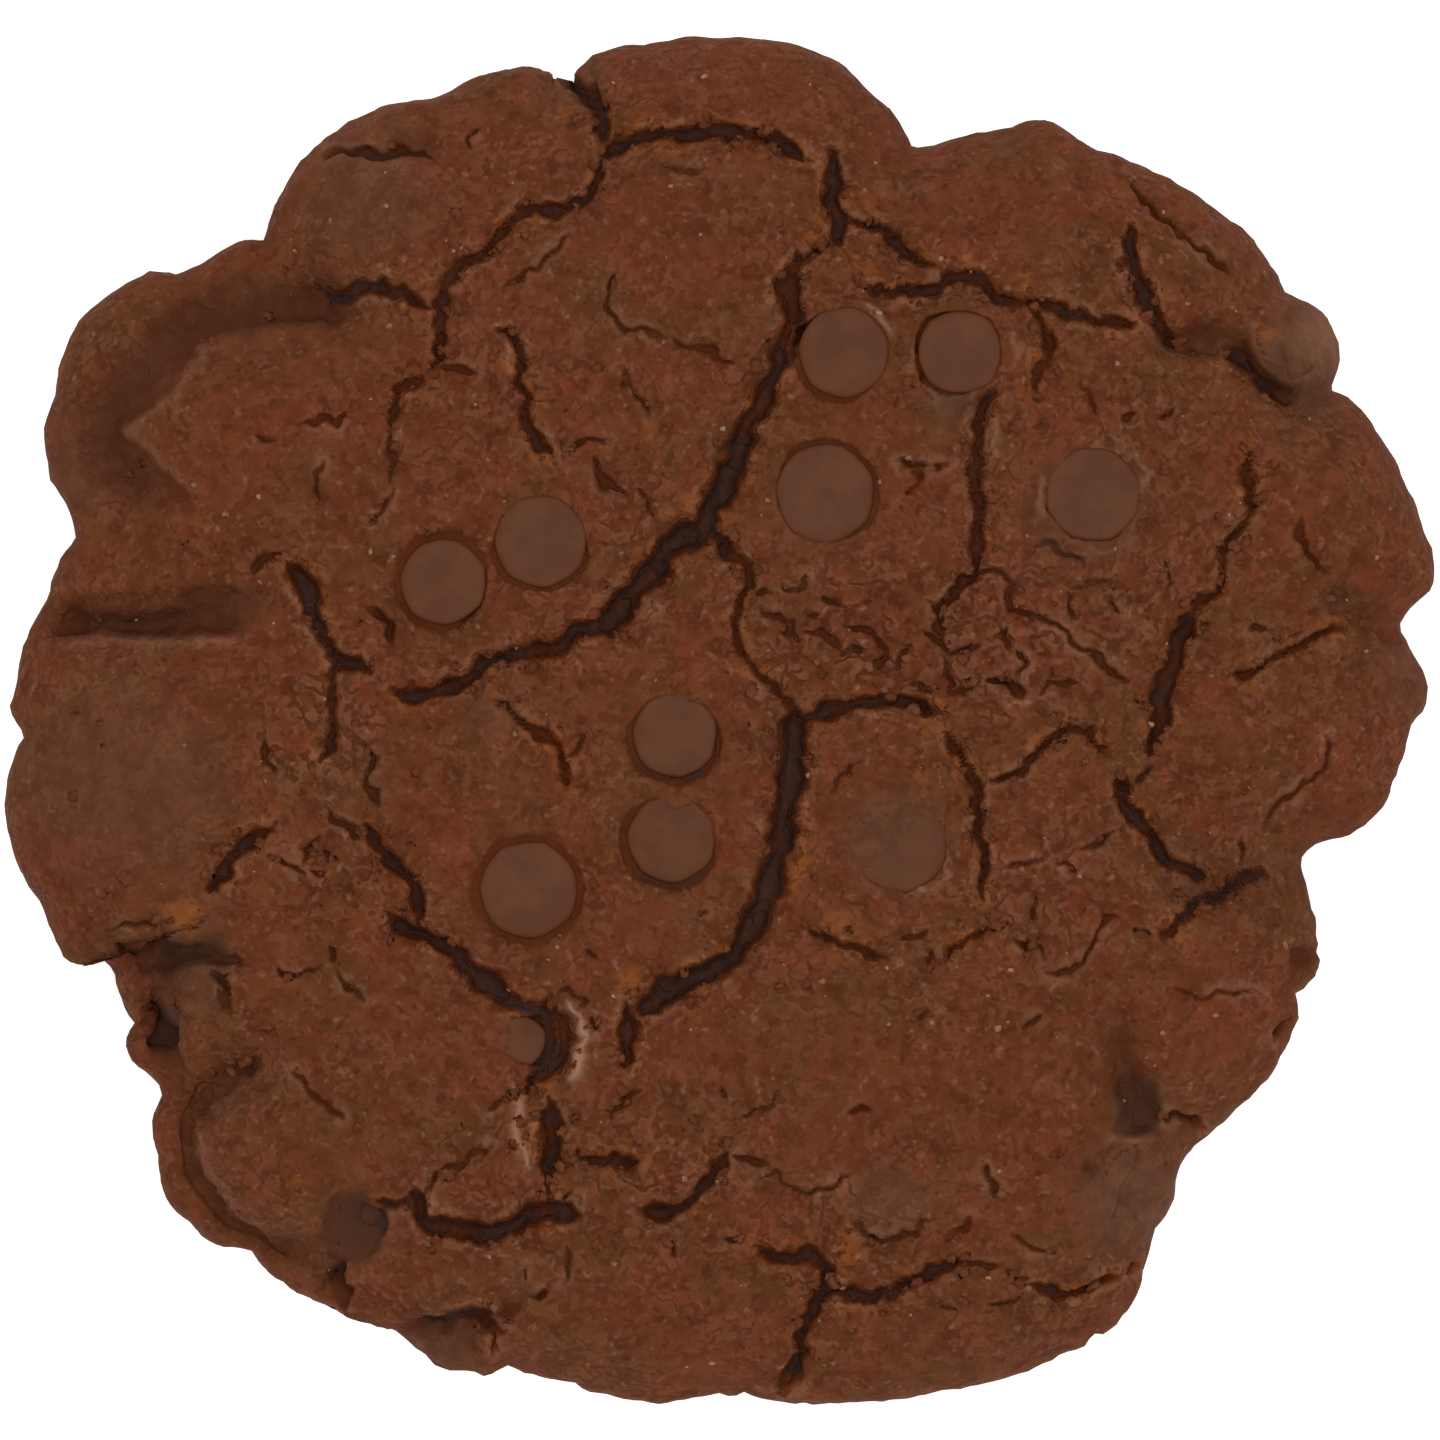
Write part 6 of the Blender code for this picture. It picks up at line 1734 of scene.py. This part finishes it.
@dataclass
class Studio:
    """A pale floor, soft light from above and a camera that looks straight down."""

    picture: int = 1440
    mm_per_pixel: float = 0.06285
    middle_pixel: tuple[float, float] = (719.5, 720.5)
    silhouette_level: float = 4.6
    distance: float = 2.6
    floor_side: float = 8.0
    sky: float = 0.68
    key_power: float = 8.1
    key_side: float = 1.2
    key_height: float = 1.3

    def floor(self) -> bpy.types.Object:
        """A wide pale floor under the cookie."""
        body = bmesh.new()
        side = self.floor_side / MM
        bmesh.ops.create_grid(body, x_segments=1, y_segments=1, size=0.5 * side)
        bmesh.ops.translate(body, vec=(0.0, 0.0, -0.05), verts=body.verts)
        floor = finished_object("floor", body)
        sheet = NodeSheet("pale_floor")
        tone = sheet.blend(sheet.noise(300.0), (0.90, 0.90, 0.90, 1.0), (0.91, 0.91, 0.91, 1.0))
        floor.data.materials.append(sheet.finish(tone, 0.8, sheet.noise(200.0), 0.0, 0.1))
        sheet.shader.inputs["Emission Color"].default_value = (1.0, 1.0, 1.0, 1.0)
        sheet.shader.inputs["Emission Strength"].default_value = 0.65
        return floor

    def lights(self) -> None:
        """A bright even sky and one large soft key light, a little off the upright."""
        world = bpy.data.worlds.new("soft_sky")
        world.use_nodes = True
        background = world.node_tree.nodes["Background"]
        background.inputs["Color"].default_value = (1.0, 1.0, 1.0, 1.0)
        background.inputs["Strength"].default_value = self.sky
        bpy.context.scene.world = world
        data = bpy.data.lights.new("key", "AREA")
        data.shape, data.size, data.energy = "DISK", self.key_side, self.key_power
        key = bpy.data.objects.new("key", data)
        key.location = (0.08, 0.1, self.key_height)
        key.rotation_mode = "QUATERNION"
        key.rotation_quaternion = key.location.to_track_quat("Z", "Y")
        key.visible_camera = False
        bpy.context.scene.collection.objects.link(key)

    def camera(self) -> None:
        """A long lens straight above, framed as the picture is."""
        width = self.picture * self.mm_per_pixel * MM
        data = bpy.data.cameras.new("camera")
        data.sensor_width = 36.0
        data.lens = data.sensor_width * self.distance / width
        data.clip_start, data.clip_end = 0.1, 10.0
        camera = bpy.data.objects.new("camera", data)
        half = 0.5 * self.picture
        camera.location = ((half - self.middle_pixel[0]) * self.mm_per_pixel * MM,
                           (self.middle_pixel[1] - half) * self.mm_per_pixel * MM,
                           self.distance + self.silhouette_level * MM)
        bpy.context.scene.collection.objects.link(camera)
        bpy.context.scene.camera = camera


@dataclass
class SpotPicker:
    """Chooses places on the finished dough for crumbs and grains, clear of the chips."""

    crust: Crust
    dough: bpy.types.Object
    headroom: float = 0.55
    outer_share: float = 0.95
    places: np.ndarray = field(init=False)
    lip: np.ndarray = field(init=False)

    def __post_init__(self) -> None:
        """Read the dough's points and keep those that can carry a lump."""
        mesh = self.dough.data
        flat = np.empty(len(mesh.vertices) * 3, np.float32)
        mesh.vertices.foreach_get("co", flat)
        places = flat.reshape(-1, 3).astype(float) / MM
        looks = {}
        for look in (Look.LIP, Look.PAINTED_SHADE):
            looks[look] = np.empty(len(places), np.float32)
            mesh.attributes[look.value].data.foreach_get("value", looks[look])
        x, y, z = places.T
        free = (z > self.crust.belly) & (z < self.crust.box[1, 2] - self.headroom)
        free &= looks[Look.PAINTED_SHADE] < 0.45
        free &= self.crust.outline.share(x, y) < self.outer_share
        for seat in self.crust.seats:
            free &= seat.offsets(x, y)[0] > seat.radius + 0.3
        self.places = places[free]
        self.lip = (looks[Look.LIP] * (looks[Look.PAINTED_SHADE] < 0.3))[free]

    def beside_cracks(self, count: int, seed: int) -> np.ndarray:
        """Places of which most lie along the lips of cracks."""
        weight = 0.06 + self.lip
        draw = np.random.default_rng(seed)
        return self.places[draw.choice(len(self.places), count, replace=False,
                                       p=weight / weight.sum())]

    def evenly(self, count: int, seed: int) -> np.ndarray:
        """Places spread over the whole top."""
        draw = np.random.default_rng(seed)
        away = 43.0 * np.sqrt(draw.random(count))
        heading = draw.uniform(0.0, math.tau, count)
        return self.nearest(np.column_stack((away * np.cos(heading), away * np.sin(heading))))

    def nearest(self, spots: np.ndarray) -> np.ndarray:
        """The free place nearest to each spot in plan."""
        tree = KDTree(len(self.places))
        for index, (x, y, _) in enumerate(self.places):
            tree.insert((x, y, 0.0), index)
        tree.balance()
        return self.places[[tree.find((x, y, 0.0))[1] for x, y in spots]]


def main() -> None:
    """Build the cookie's pieces around the frame, light them and frame the view."""
    logging.basicConfig(level=logging.INFO, format="%(message)s")
    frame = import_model()
    cad_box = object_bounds()
    bpy.context.scene.view_settings.view_transform = "Standard"
    chip_nodes = sorted(name for name in frame["nodes"] if name.startswith("chip_"))
    seats = [ChipSeat(name, cover) for name, cover in zip(chip_nodes, COVERS)]
    crust = Crust(Outline(OUTLINE), seats, Grain(7), np.array(cad_box) / MM)
    dough = DoughBody(crust).build()
    dough.data.materials.append(BakedDough().material())
    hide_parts("cookie")
    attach(dough, BODY)
    LOG.info("cookie_dough: %d triangles", len(dough.data.loop_triangles))

    chocolate = SatinChocolate().material()
    for seat in seats:
        chip = ChocolateChip(seat.node.replace("chip", "chocolate_chip"), seat, Grain(3)).build()
        chip.data.materials.append(chocolate)
        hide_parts(seat.node)
        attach(chip, BODY)
        LOG.info("%s: radius %.2f mm", chip.name, seat.radius)

    picker = SpotPicker(crust, dough)
    crumbs = Scatter("loose_crumbs", (0.1, 0.5), 2).build(picker.beside_cracks(1100, 5), 6)
    crumbs.data.materials.append(CrumbFinish().material())
    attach(crumbs, BODY)
    LOG.info("loose_crumbs: %d faces", len(crumbs.data.polygons))

    spots = np.vstack((picker.nearest(np.array(SUGAR_SPOTS)), picker.evenly(130, 8)))
    grains = Scatter("sugar_grains", (0.11, 0.24), 2, roughness=0.25).build(spots, 9)
    grains.data.materials.append(GrainFinish().material())
    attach(grains, BODY)
    LOG.info("sugar_grains: %d faces", len(grains.data.polygons))

    studio = Studio()
    studio.floor()
    studio.lights()
    studio.camera()


if __name__ == "__main__":
    main()
